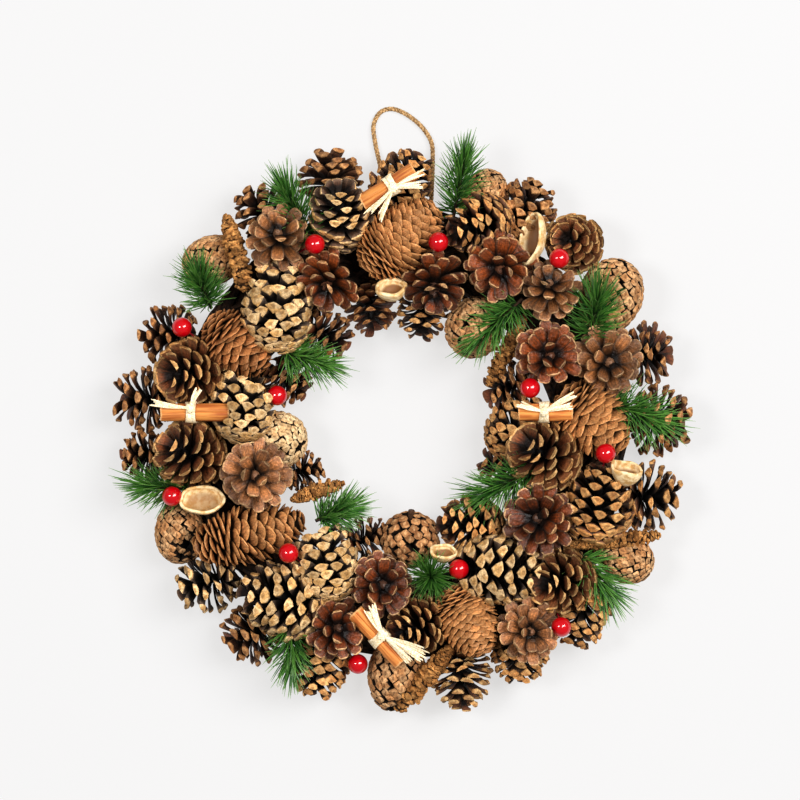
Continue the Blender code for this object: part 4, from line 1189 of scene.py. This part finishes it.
@dataclass(frozen=True)
class Pod:
    """An empty seed pod: a bowl whose mouth faces along an azimuth and a lift, with its rim's curl."""

    middle: Point
    azimuth: float
    lift: float
    half_length: float
    half_width: float
    depth: float
    curl: float
    wall: float
    # How strongly the inside of the bowl is darkened as painted shade.
    depth_of_shade: float = 1.0


PODS = (
    Pod((-6.2, 88.8, 53), 112, 52, 10, 9, 10, 0.3, 2.4),
    Pod((82.1, 121, 47.7), 172, 46, 17, 9.5, 11, 0.15, 1.8),
    Pod((139.5, -24.8, 50.7), 92, 38, 10, 9.5, 13, 0.25, 1.8),
    Pod((26, -75, 52), 100, 50, 8.5, 7.5, 8, 0.4, 1.8),
    Pod((-124.5, -42.5, 46), 90, 66, 10, 14.5, 9, 0.12, 2.0, 0.6),
)

LOOP_ROUTE = (
    (-9, 139.4, 8),
    (-11, 155, 7),
    (-14, 170, 4.4),
    (-17, 184, 2.6),
    (-18, 195, 1.8),
    (-14, 203, 1.8),
    (-7, 205.5, 1.8),
    (1, 203, 1.8),
    (9, 197.5, 1.8),
    (15, 191, 1.8),
    (19, 183, 2.4),
    (19.5, 172, 4.2),
    (19, 156, 6.8),
    (18, 138.4, 8),
)


def obstacles() -> list[Capsule]:
    """Lists what the scales of the pine cones keep out of: berries, sticks, pods, catkins and spruce cones.

    Returns:
        A bar for each, slimmer than the thing where scales may press against it.
    """
    bars = [Capsule(berry.middle, berry.middle, BERRY_RADIUS + 2.6) for berry in BERRIES]
    for stick in STICKS:
        start, stop = np.array(stick.ends[0]), np.array(stick.ends[1])
        inset = 5.0 * unit(stop - start)
        bars.append(Capsule(tuple(start + inset), tuple(stop - inset), 5.8))
    bars += [Capsule(pod.middle, pod.middle, 0.9 * pod.half_width) for pod in PODS]
    bars += [Capsule(*catkin.ends, catkin.radius) for catkin in CATKINS]
    bars += [Capsule(*cone.ends, 0.7 * cone.radius) for cone in SPRUCE_CONES]
    return bars


@dataclass(frozen=True)
class Kind:
    """What pieces of one kind are called, and their nodes, slot, places, finishes and smooth angle."""

    piece: str
    node: str
    slot: str
    places: Sequence[object]
    finishes: tuple[Finish, ...] = ()
    smooth: float = 40.0


@dataclass
class Trimmings:
    """Pieces of one kind, which a subclass shapes one by one. Its seed gives each piece draws of its own."""

    wreath: Wreath
    seed: int = 0
    KIND: ClassVar[Kind]

    def build(self) -> None:
        """Shapes and dresses a piece for each place, numbered from one as the nodes are."""
        kind = self.KIND
        for number, place in enumerate(kind.places, 1):
            heap = Heap(f"{kind.piece}_{number}")
            self.shape(heap, place, number)
            heap.build(self.wreath, self.finishes(number), f"{kind.node}_{number}", kind.slot, kind.smooth)

    def shape(self, heap: Heap, place: object, number: int) -> None:
        """Adds the lofts of one piece to its heap; a subclass says which."""
        raise NotImplementedError

    def finishes(self, number: int) -> Sequence[Finish]:
        """The finishes of one piece, in the order that its lofts number them."""
        return self.KIND.finishes


@dataclass
class PineCones(Trimmings):
    """The pine cones, a piece for each bunch. One closed cone keeps its stalk."""

    seed: int = 100
    fullness: float = 0.94
    knob_places: tuple[float, ...] = (0.5, 0.62, 0.74, 0.82, 0.86, 0.88)
    knob_radii: tuple[float, ...] = (0.12, 0.15, 0.14, 0.12, 0.08, 0.04)
    stalk_bunch: int = 8
    stalk: tuple[Point, ...] = ((5, -63, 30), (5, -58, 33), (5, -55.5, 34), (6, -48.5, 37), (6, -48.1, 37.1))
    stalk_radii: tuple[float, ...] = (2.1, 1.8, 1.7, 2.1, 1.5)
    KIND = Kind("cones_bunch", "pine_cones", "dry_pine_cone", PINE_CONES, smooth=28.0)

    def finishes(self, number: int) -> Sequence[Finish]:
        """The finishes of a bunch's cones, by name."""
        return sorted({cone.finish for cone in PINE_CONES[number - 1]}, key=lambda finish: finish.name)

    def shape(self, heap: Heap, place: Sequence[Cone], number: int) -> None:
        """Grows the cones of a bunch.

        Args:
            heap: The bunch's heap.
            place: Its cones.
            number: Its number.
        """
        bars, finishes = obstacles(), self.finishes(number)
        earlier = sum(len(bunch) for bunch in PINE_CONES[: number - 1])
        for seed, cone in enumerate(place, self.seed + earlier + 1):
            finish = finishes.index(cone.finish)
            Spindle(cone.ends, cone.radius * self.fullness, cone.form.value, seed).grow(heap, finish, bars)
            if cone.form is Form.ROSETTE:
                self.add_knob(heap, cone, finish)
        if number == self.stalk_bunch:
            stalk = tube_rings(np.array(self.stalk, float), np.array(self.stalk_radii), 8)
            heap.add(stalk, along=0.7, across=0.3, tone=0.5)

    def add_knob(self, heap: Heap, cone: Cone, finish: int) -> None:
        """Adds the blunt bud that the upper scales of an open rosette stand round.

        Args:
            heap: The bunch that the cone is in.
            cone: The rosette.
            finish: The place of the cone's finish among the bunch's finishes.
        """
        low, high = cone.ends
        line = low + np.array(self.knob_places)[:, None] * (high - low)
        rings = tube_rings(line, np.array(self.knob_radii) * cone.radius, 8)
        heap.add(rings, finish, along=0.86, across=0.4, tone=0.8)


@dataclass
class SpruceCones(Trimmings):
    """The long shingled cones. Some are shut tight, and one is darker than the rest."""

    seed: int = 161
    fullness: float = 0.98
    tight: tuple[int, ...] = (1, 4)
    dark: tuple[int, ...] = (2,)
    KIND = Kind("spruce_shingles", "spruce_cone", "dry_spruce_cone", SPRUCE_CONES)

    def finishes(self, number: int) -> Sequence[Finish]:
        """The darker or the paler shingles."""
        return (Finish.LOOSE_SHINGLES if number in self.dark else Finish.SPRUCE_SHINGLES,)

    def shape(self, heap: Heap, place: Shoot, number: int) -> None:
        """Grows a spruce cone by its two ends and radius."""
        form = Form.SPRUCE if number in self.tight else Form.LOOSE_SPRUCE
        Spindle(place.corners, place.radius * self.fullness, form.value, self.seed + number).grow(heap)


@dataclass
class Catkins(Trimmings):
    """The knobbly catkins, each a stalk crowded with lumps."""

    seed: int = 300
    KIND = Kind("catkin_lumps", "catkin", "dry_catkin", CATKINS, (Finish.CATKIN_LUMPS,))

    def shape(self, heap: Heap, place: Shoot, number: int) -> None:
        """Grows a catkin by its two ends and radius."""
        Spindle(place.corners, place.radius, Form.CATKIN.value, self.seed + number).grow(heap)


@dataclass
class Sprigs(Trimmings):
    """The evergreen sprigs: a woody twig with needles all round.

    The tilts and reaches hold at the base, the middle and the tip; a reach is a share of the sprig's radius.
    """

    seed: int = 400
    needles: int = 270
    twig_radius: float = 0.9
    needle_radius: float = 0.42
    needle_taper: tuple[float, ...] = (0.7, 1.0, 1.0, 0.8, 0.22)
    tilts: Triple = (8, 34, 70)
    reaches: Triple = (0.80, 0.98, 0.92)
    KIND = Kind("sprig_needles", "pine_sprig", "evergreen_needles", SPRIGS, (Finish.NEEDLES, Finish.TWIGS))

    def shape(self, heap: Heap, place: Shoot, number: int) -> None:
        """Adds a twig and its needles: anchor + ray reach s + droop s squared, shorter or longer by chance.

        Args:
            heap: The sprig's heap.
            place: Its two ends and radius.
            number: Its number.
        """
        draw = np.random.default_rng(self.seed + number)
        base, apex = place.corners
        axis = unit(apex - base)
        side, other = square_to(axis)
        count = self.needles
        height = (np.arange(count) + 0.5) / count
        angle = np.arange(count) * GOLDEN_ANGLE + draw.normal(0, 0.25, count)
        tilt = np.radians(np.interp(height, (0, 0.5, 1), self.tilts) + draw.normal(0, 15, count))
        longest = place.radius * np.interp(height, (0, 0.5, 1), self.reaches)
        reach = longest * (1 - 0.4 * draw.random(count) ** 1.5)
        ray = around(tilt, around(angle, side, other), axis)
        anchor = base + np.outer(height, apex - base)
        s = np.linspace(0, 1, len(self.needle_taper))
        droop = (axis * draw.normal(0.1, 0.12, count)[:, None] - UP * 0.04) * place.radius
        droop = droop + np.cross(ray, axis) * draw.normal(0, 0.22, count)[:, None] * place.radius
        line = anchor[:, None] + ray[:, None] * (reach[:, None] * s)[..., None]
        line = line + droop[:, None] * (s**2)[:, None]
        rings = tube_rings(line, self.needle_radius * np.array(self.needle_taper), 3, 0.8)
        heap.add(rings, along=s[:, None], tone=draw.random(count)[:, None, None])
        share = np.linspace(-0.12, 1.0, 8)
        twig = base + np.outer(share, apex - base)
        heap.add(tube_rings(twig, self.twig_radius * (1.2 - 0.6 * np.clip(share, 0, 1)), 6), 1, tone=0.6)


@dataclass
class Berries(Trimmings):
    """The lacquered berries on their wires."""

    rings: int = 22
    sides: int = 32
    wire_radius: float = 0.55
    wire_bend: Point = (0.5, 0.4, 0.0)
    KIND = Kind("berry_lacquered", "berry", "lacquered_berry", BERRIES, (Finish.BERRY, Finish.WIRE))

    def shape(self, heap: Heap, place: Berry, number: int) -> None:
        """Turns a berry, radius cos latitude round its upright axis, and bends its wire a little aside.

        Args:
            heap: The berry's heap.
            place: Its middle and the end of its stem.
            number: Its number; not used.
        """
        latitude = np.linspace(-0.49, 0.49, self.rings) * math.pi
        spoke = around(full_turn(self.sides), np.array((1.0, 0.0, 0.0)), np.array((0.0, 1.0, 0.0)))
        level = np.sin(latitude) * BERRY_RADIUS
        rings = np.cos(latitude)[:, None, None] * spoke * BERRY_RADIUS + level[:, None, None] * UP
        heap.add((rings + np.array(place.middle))[None])
        bend = (np.array(place.middle) + np.array(place.stem)) / 2 + self.wire_bend
        wire = smooth_route((place.middle, tuple(bend), place.stem), 12)
        heap.add(tube_rings(wire, self.wire_radius, 6), 1, tone=0.5)


@dataclass
class CinnamonSticks(Trimmings):
    """Rolled cinnamon bark: both edges of a thin sheet curl in and meet along the top."""

    seed: int = 500
    half_width: float = 5.5
    half_height: float = 4.5
    curl_radius: float = 2.1
    curl_end: float = 1.2
    bark: float = 0.9
    stations: int = 28
    KIND = Kind("cinnamon_bark", "cinnamon_stick", "cinnamon_bark", STICKS, (Finish.CINNAMON,))

    def scroll(self) -> Array:
        """Draws the cross-section: outside from one curl to the other, and back inside by the bark's width.

        The middle line is an oval from -78 to 258 degrees, and each end of it winds on into a smaller
        circle.

        Returns:
            Points by 2.
        """
        sweep = np.radians(np.linspace(102, 438, 34))
        oval = np.stack((self.half_width * np.cos(sweep), self.half_height * np.sin(sweep)), axis=1)
        turn = np.radians(np.linspace(0, 330, 14)[1:])
        size = np.interp(turn, (0, turn[-1]), (self.curl_radius, self.curl_end))
        start = oval[-1]
        curl = np.stack((np.sin(turn) * size, np.cos(turn) * size), axis=1)
        curl = curl + (start[0], start[1] - self.curl_radius)
        curl[:, 0] = start[0] - (curl[:, 0] - start[0]) - 0.1
        line = np.concatenate(((curl * (-1, 1))[::-1], oval, curl))
        run = unit(np.gradient(line, axis=0))
        normal = np.stack((run[:, 1], -run[:, 0]), axis=1)
        return np.concatenate((line, (line - normal * self.bark)[::-1]))

    def shape(self, heap: Heap, place: Stick, number: int) -> None:
        """Carries the scroll along the stick, wavering a little, with ragged ends that show pale wood.

        Args:
            heap: The stick's heap.
            place: Its ends.
            number: Its number.
        """
        draw = np.random.default_rng(self.seed + number)
        start, stop = (np.array(end, float) for end in place.ends)
        axis = unit(stop - start)
        side = np.cross(UP, axis)
        outline = self.scroll()
        share = np.linspace(0, 1, self.stations)
        waver = 1 + 0.03 * np.sin(share * 9 + draw.uniform(0, 6))
        ragged = draw.normal(0, 0.35, (2, len(outline)))
        ragged = (ragged + np.roll(ragged, 1, axis=1) + np.roll(ragged, 2, axis=1)) / 2
        near_start, near_stop = 1 - smooth_step(share, 0, 0.08), smooth_step(share, 0.92, 1)
        offset = np.abs(near_start[:, None] * ragged[0] - near_stop[:, None] * ragged[1])
        flat = outline[None] * waver[:, None, None]
        rings = (start + np.outer(share, stop - start))[:, None] + flat[..., :1] * side
        rings = rings + flat[..., 1:] * np.cross(axis, side)
        rings = rings + offset[..., None] * np.sign(0.5 - share)[:, None, None] * axis
        cut = 1 - smooth_step(np.minimum(share, 1 - share), 0.0, 0.03)
        turned, tone = np.linspace(0, 1, len(outline)), 0.3 + 0.15 * number
        heap.add(rings[None], along=share[:, None], across=cut[:, None], inner=turned, tone=tone)


@dataclass
class RaffiaTies(Trimmings):
    """Raffia round each stick: a few turns of ribbon, a knot and loose ends that split and lift."""

    seed: int = 600
    stick_half_width: float = 5.5
    stick_half_height: float = 4.5
    turns: int = 4
    half_width: float = 1.25
    clear: float = 0.75
    strands_each: int = 4
    knot_height: float = 5.6
    knot_headings: Triple = (15.0, 75.0, 140.0)
    end_height: float = 4.8
    KIND = Kind("raffia_bow", "raffia_tie", "raffia", STICKS, (Finish.RAFFIA,))

    def shape(self, heap: Heap, place: Stick, number: int) -> None:
        """Winds the band, ties the knot over it and lets its strands run out.

        Args:
            heap: The tie's heap.
            place: The stick, with its knot and the ends of its strands.
            number: Its number.
        """
        draw = np.random.default_rng(self.seed + number)
        start, stop = (np.array(end, float) for end in place.ends)
        axis = unit(stop - start)
        middle = start + axis * float((np.array((*place.knot, start[2])) - start) @ axis)
        self.band(heap, middle, axis, draw)
        knot = np.array((*place.knot, start[2] + self.knot_height))
        self.knot(heap, knot, axis, draw)
        for end in place.strands:
            self.strand(heap, knot, np.array((*end, start[2] + self.end_height)), draw)

    def ribbon(
        self, heap: Heap, line: Array, half: Array | float, draw: np.random.Generator, level: Array = UP
    ) -> None:
        """Adds a flat ribbon.

        Args:
            heap: The tie's heap.
            line: The ribbon's middle line.
            half: Its half width.
            draw: Gives its tone.
            level: The direction that its face looks to.
        """
        heap.add(tube_rings(line, half, 8, 0.2, level), tone=draw.uniform(0.3, 1.0))

    def band(self, heap: Heap, middle: Array, axis: Array, draw: np.random.Generator) -> None:
        """Winds a ribbon round the stick: an oval that drifts along the stick with each turn.

        Args:
            heap: The tie's heap.
            middle: The point of the stick's axis under the knot.
            axis: The way that the stick runs.
            draw: Gives each turn's tone.
        """
        side = np.cross(UP, axis)
        sweep = np.linspace(0, 2 * math.pi, 33)
        for turn in range(self.turns):
            drift = (turn - (self.turns - 1) / 2) * 1.6 + 0.8 * np.sin(sweep + turn)
            grow = self.clear + 0.12 * turn
            wide, high = self.stick_half_width + grow, self.stick_half_height + grow
            line = middle + np.outer(drift, axis) + np.outer(wide * np.cos(sweep), side)
            line = line + np.outer(high * np.sin(sweep), UP)
            run = unit(np.gradient(line, axis=0))
            self.ribbon(heap, line, self.half_width, draw, np.cross(run, np.broadcast_to(axis, run.shape)))

    def knot(self, heap: Heap, place: Array, axis: Array, draw: np.random.Generator) -> None:
        """Ties three ribbons that arch over the knot's place and cross each other.

        Args:
            heap: The tie's heap.
            place: The knot's middle.
            axis: The way that the stick runs.
            draw: Gives each ribbon's size and tone.
        """
        sweep = np.linspace(-0.15 * math.pi, 1.15 * math.pi, 14)
        for bearing in self.knot_headings:
            turn = math.radians(bearing)
            across = math.cos(turn) * axis + math.sin(turn) * np.cross(UP, axis)
            size = draw.uniform(2.6, 3.4)
            line = place + np.outer(size * np.cos(sweep), across)
            line = line + np.outer(1.7 * np.sin(sweep), UP) + UP * 0.1
            self.ribbon(heap, line, 1.3, draw)

    def strand(self, heap: Heap, start: Array, stop: Array, draw: np.random.Generator) -> None:
        """Runs a bundle of thin ribbons out to one loose end, which fan out and lift in a low arch.

        Args:
            heap: The tie's heap.
            start: The knot's middle.
            stop: The loose end.
            draw: Gives each ribbon's way, width and tone.
        """
        run = stop - start
        side = unit(np.cross(UP, run))
        share = np.linspace(0, 1, 16)
        for number in range(self.strands_each):
            fan = (number - (self.strands_each - 1) / 2) * draw.uniform(0.8, 1.6)
            rise = draw.uniform(0.4, 1.8) * np.sin(math.pi * share) + 0.35 * number
            reach = draw.uniform(0.82, 1.04)
            wander = 0.5 * np.sin(share * draw.uniform(3, 6)) * share
            line = start + np.outer(share * reach, run)
            line = line + np.outer(fan * share + wander, side) + np.outer(rise, UP)
            half = np.interp(share, (0, 0.5, 0.95, 1), (0.6, 0.8, 0.6, 0.25)) * draw.uniform(0.7, 1.15)
            self.ribbon(heap, line, half, draw)


@dataclass
class SeedPods(Trimmings):
    """Empty seed pods: thin bowls with a thick, wavering rim and an inside darkened as painted shade."""

    seed: int = 700
    sides: int = 48
    outer_rings: int = 14
    rim_rings: int = 4
    inner_rings: int = 12
    bead: float = 0.7
    KIND = Kind("seed_pod_shell", "seed_pod", "seed_pod_shell", PODS, (Finish.SHELL,), 60.0)

    def shape(self, heap: Heap, place: Pod, number: int) -> None:
        """Adds rings from the outer pole over the rim to the inner pole.

        A ring is an ellipse of half length and half width times the cosine of its latitude, at the depth
        times its sine. The rim rises by the curl times the cosine of the bearing and wavers.

        Args:
            heap: The pod's heap.
            place: Its place and sizes.
            number: Its number.
        """
        draw = np.random.default_rng(self.seed + number)
        mouth = heading(place.azimuth, place.lift)
        wide, deep = square_to(mouth)
        angle = full_turn(self.sides)
        outer = np.radians(np.linspace(-86, 0, self.outer_rings))
        inner = np.radians(np.linspace(0, -84, self.inner_rings))
        rim = np.linspace(0, math.pi, self.rim_rings + 2)[1:-1]
        outside, within = np.zeros(self.outer_rings), np.zeros(self.inner_rings)
        latitude = np.concatenate((outer, np.zeros(self.rim_rings), inner))
        wall = np.concatenate((outside, place.wall * (1 - np.cos(rim)) / 2, within + place.wall))
        bead = np.concatenate((outside, self.bead * np.sin(rim), within))
        # Painted shade: the inside darkens from near the rim towards the bottom of the bowl.
        inside = np.concatenate((outside, np.zeros(self.rim_rings), smooth_step(-np.degrees(inner), 8, 50)))
        wave = place.curl * np.cos(angle - 0.6) + 0.05 * np.sin(3 * angle + draw.uniform(0, 6))
        near_rim = smooth_step(np.degrees(latitude), -60, 0)
        level = ((place.depth - wall) * np.sin(latitude) + bead)[:, None]
        level = level + near_rim[:, None] * wave * place.depth
        swell = 1 + 0.03 * np.sin(5 * angle + draw.uniform(0, 6)) * near_rim[:, None]
        length = (np.cos(latitude) * (place.half_length - wall))[:, None] * swell
        width = (np.cos(latitude) * (place.half_width - wall))[:, None] * swell
        rings = np.array(place.middle, float) + mouth * place.depth / 3 + level[..., None] * mouth
        rings = rings + (length * np.cos(angle))[..., None] * wide
        rings = rings + (width * np.sin(angle))[..., None] * deep
        heap.add(rings[None], across=place.depth_of_shade * inside[:, None], tone=0.8)


@dataclass
class Ring:
    """The ring that carries the cones: thin vine twigs wound round a core."""

    wreath: Wreath
    seed: int = 800
    twigs: int = 84
    half_width: float = 25.0
    half_height: float = 12.0
    level: float = 13.6
    core_share: float = 0.7
    core_steps: int = 120
    twig_radius: float = 1.9
    twig_steps: int = 32
    floor: float = 0.4

    def build(self) -> None:
        """Winds the twigs and sets the core, two half circles, under them."""
        heap = Heap("vine_ring")
        draw = np.random.default_rng(self.seed)
        turn = 2 * math.pi * np.arange(self.core_steps + 1) / self.core_steps
        level = np.full(len(turn), self.level)
        centre = np.stack((RING_RADIUS * np.cos(turn), RING_RADIUS * np.sin(turn), level), axis=1)
        half = self.core_steps // 2
        for arc in (centre[: half + 1], centre[half:]):
            heap.add(tube_rings(arc, self.half_width * self.core_share, 16, 0.5))
        s = np.linspace(0, 1, self.twig_steps)
        lines, tones = [], []
        for _ in range(self.twigs):
            bearing = draw.uniform(0, 2 * math.pi) + s * math.radians(draw.uniform(90, 190))
            phase = draw.uniform(0, 2 * math.pi) + s * draw.choice((-1, 1)) * draw.uniform(3, 9)
            size = draw.uniform(0.86, 0.97) + 0.03 * np.sin(s * 17 + draw.uniform(0, 6))
            radius = RING_RADIUS + self.half_width * size * np.cos(phase)
            height = self.level + self.half_height * size * np.sin(phase)
            height = np.maximum(height, self.floor + self.twig_radius)
            lines.append(np.stack((radius * np.cos(bearing), radius * np.sin(bearing), height), axis=1))
            tones.append(draw.random())
        taper = np.interp(s, (0, 0.1, 0.9, 1), (0.6, 1.0, 1.0, 0.5)) * self.twig_radius
        heap.add(tube_rings(np.array(lines), taper, 5), tone=np.array(tones)[:, None, None])
        heap.build(self.wreath, (Finish.TWIGS,), "wreath_ring", "grapevine_twigs")


@dataclass
class HangingLoop:
    """The jute loop at the top: three strands laid into a cord."""

    wreath: Wreath
    diameter: float = 3.0
    strands: int = 3
    strand_share: float = 0.27
    lay: float = 7.0
    stations: int = 240
    path_points: int = 80

    def build(self) -> None:
        """Lays the strands round the route: each turns once in a lay, a third of a turn from the next."""
        route = smooth_route(LOOP_ROUTE, self.stations)
        length = float(np.linalg.norm(np.diff(route, axis=0), axis=1).sum())
        run = unit(np.gradient(route, axis=0))
        side = unit(np.cross(np.broadcast_to(UP, run.shape), run))
        normal = np.cross(run, side)
        travelled = np.linspace(0, length, len(route))
        heap = Heap("jute_loop")
        strand = self.diameter * self.strand_share
        for number in range(self.strands):
            turn = 2 * math.pi * (travelled / self.lay + number / self.strands)
            line = route + (self.diameter / 2 - strand) * around(turn, side, normal)
            heap.add(tube_rings(line, strand, 8), tone=0.3 + 0.3 * number)
        piece = heap.build(self.wreath, (Finish.JUTE,), "hanging_loop", "jute_cord")
        path = self.wreath.placed(smooth_route(LOOP_ROUTE, self.path_points))


@dataclass
class Studio:
    """The pale floor, the soft lights and the camera that looks straight down.

    The photo's width in millimetres is that at the level of the cones' middles. Its centre lies a little to
    the side of the ring's. The board's half width, the lamps' places and sizes are in metres, their powers
    in watts.
    """

    wreath: Wreath
    photo_centre: Pair = (-1.25, 20.6)
    photo_width: float = 500.0
    photo_level: float = 40.0
    camera_height: float = 2400.0
    sensor_width: float = 36.0
    half_board: float = 4.0
    lamps: tuple[tuple[str, Point, Pair, float], ...] = (
        ("right window", (1.05, 0.45, 1.9), (0.8, 1.5), 50.0),
        ("left window", (-0.95, 0.2, 1.9), (0.5, 0.55), 22.0),
    )
    room_colour: str = "f3f4f6"
    room_light: float = 0.3
    gamma: float = 0.84

    def build(self) -> None:
        """Sets the camera, the floor, the lights and the grey-white surroundings."""
        self.camera()
        self.floor()
        for lamp in self.lamps:
            self.lamp(*lamp)
        world = bpy.data.worlds.new("pale room")
        world.use_nodes = True
        background = world.node_tree.nodes["Background"]
        background.inputs["Color"].default_value = linear(self.room_colour)
        background.inputs["Strength"].default_value = self.room_light
        scene = bpy.context.scene
        scene.world = world
        scene.view_settings.view_transform = "Standard"
        scene.view_settings.gamma = self.gamma

    def camera(self) -> None:
        """A long lens straight above, so that the photo's width fills the frame at the cones' level."""
        data = bpy.data.cameras.new("above")
        data.sensor_width = self.sensor_width
        data.lens = self.sensor_width * (self.camera_height - self.photo_level) / self.photo_width
        data.clip_end = 10.0
        made = bpy.data.objects.new("above", data)
        made.location = self.wreath.placed(np.array((*self.photo_centre, self.camera_height)))
        bpy.context.scene.collection.objects.link(made)
        bpy.context.scene.camera = made

    def floor(self) -> None:
        """A matt off-white board that fills every view, and glows a little as in a bright room."""
        half = self.half_board
        mesh = bpy.data.meshes.new("floor")
        corners = [(-half, -half, 0), (half, -half, 0), (half, half, 0), (-half, half, 0)]
        mesh.from_pydata(corners, [], [(0, 1, 2, 3)])
        glow = {"Emission Color": linear("fffefd"), "Emission Strength": 0.7}
        board = Nodes("matt white board").done({"Base Color": linear("6f6f70"), "Roughness": 0.9, **glow})
        mesh.materials.append(board)
        made = bpy.data.objects.new("floor", mesh)
        bpy.context.scene.collection.objects.link(made)

    def lamp(self, name: str, place: Point, size: Pair, power: float) -> None:
        """Sets up a white soft box that faces the wreath's middle.

        Args:
            name: The light's name.
            place: Where it stands, in metres.
            size: Its width and height in metres.
            power: Its power in watts.
        """
        data = bpy.data.lights.new(name, "AREA")
        data.shape = "RECTANGLE"
        data.size, data.size_y = size
        data.energy = power
        made = bpy.data.objects.new(name, data)
        made.location = place
        direction = Vector((0, 0, 0.03)) - made.location
        made.rotation_euler = direction.to_track_quat("-Z", "Y").to_euler()
        bpy.context.scene.collection.objects.link(made)


SUB_ASSEMBLIES = (
    Studio, HangingLoop, Ring, PineCones, SpruceCones, Catkins, Sprigs, Berries, CinnamonSticks, RaffiaTies,
    SeedPods,
)


def main() -> None:
    """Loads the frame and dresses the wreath."""
    logging.basicConfig(level=logging.INFO, format="%(message)s")
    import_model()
    wreath = Wreath()
    for sub_assembly in SUB_ASSEMBLIES:
        sub_assembly(wreath).build()


if __name__ == "__main__":
    main()
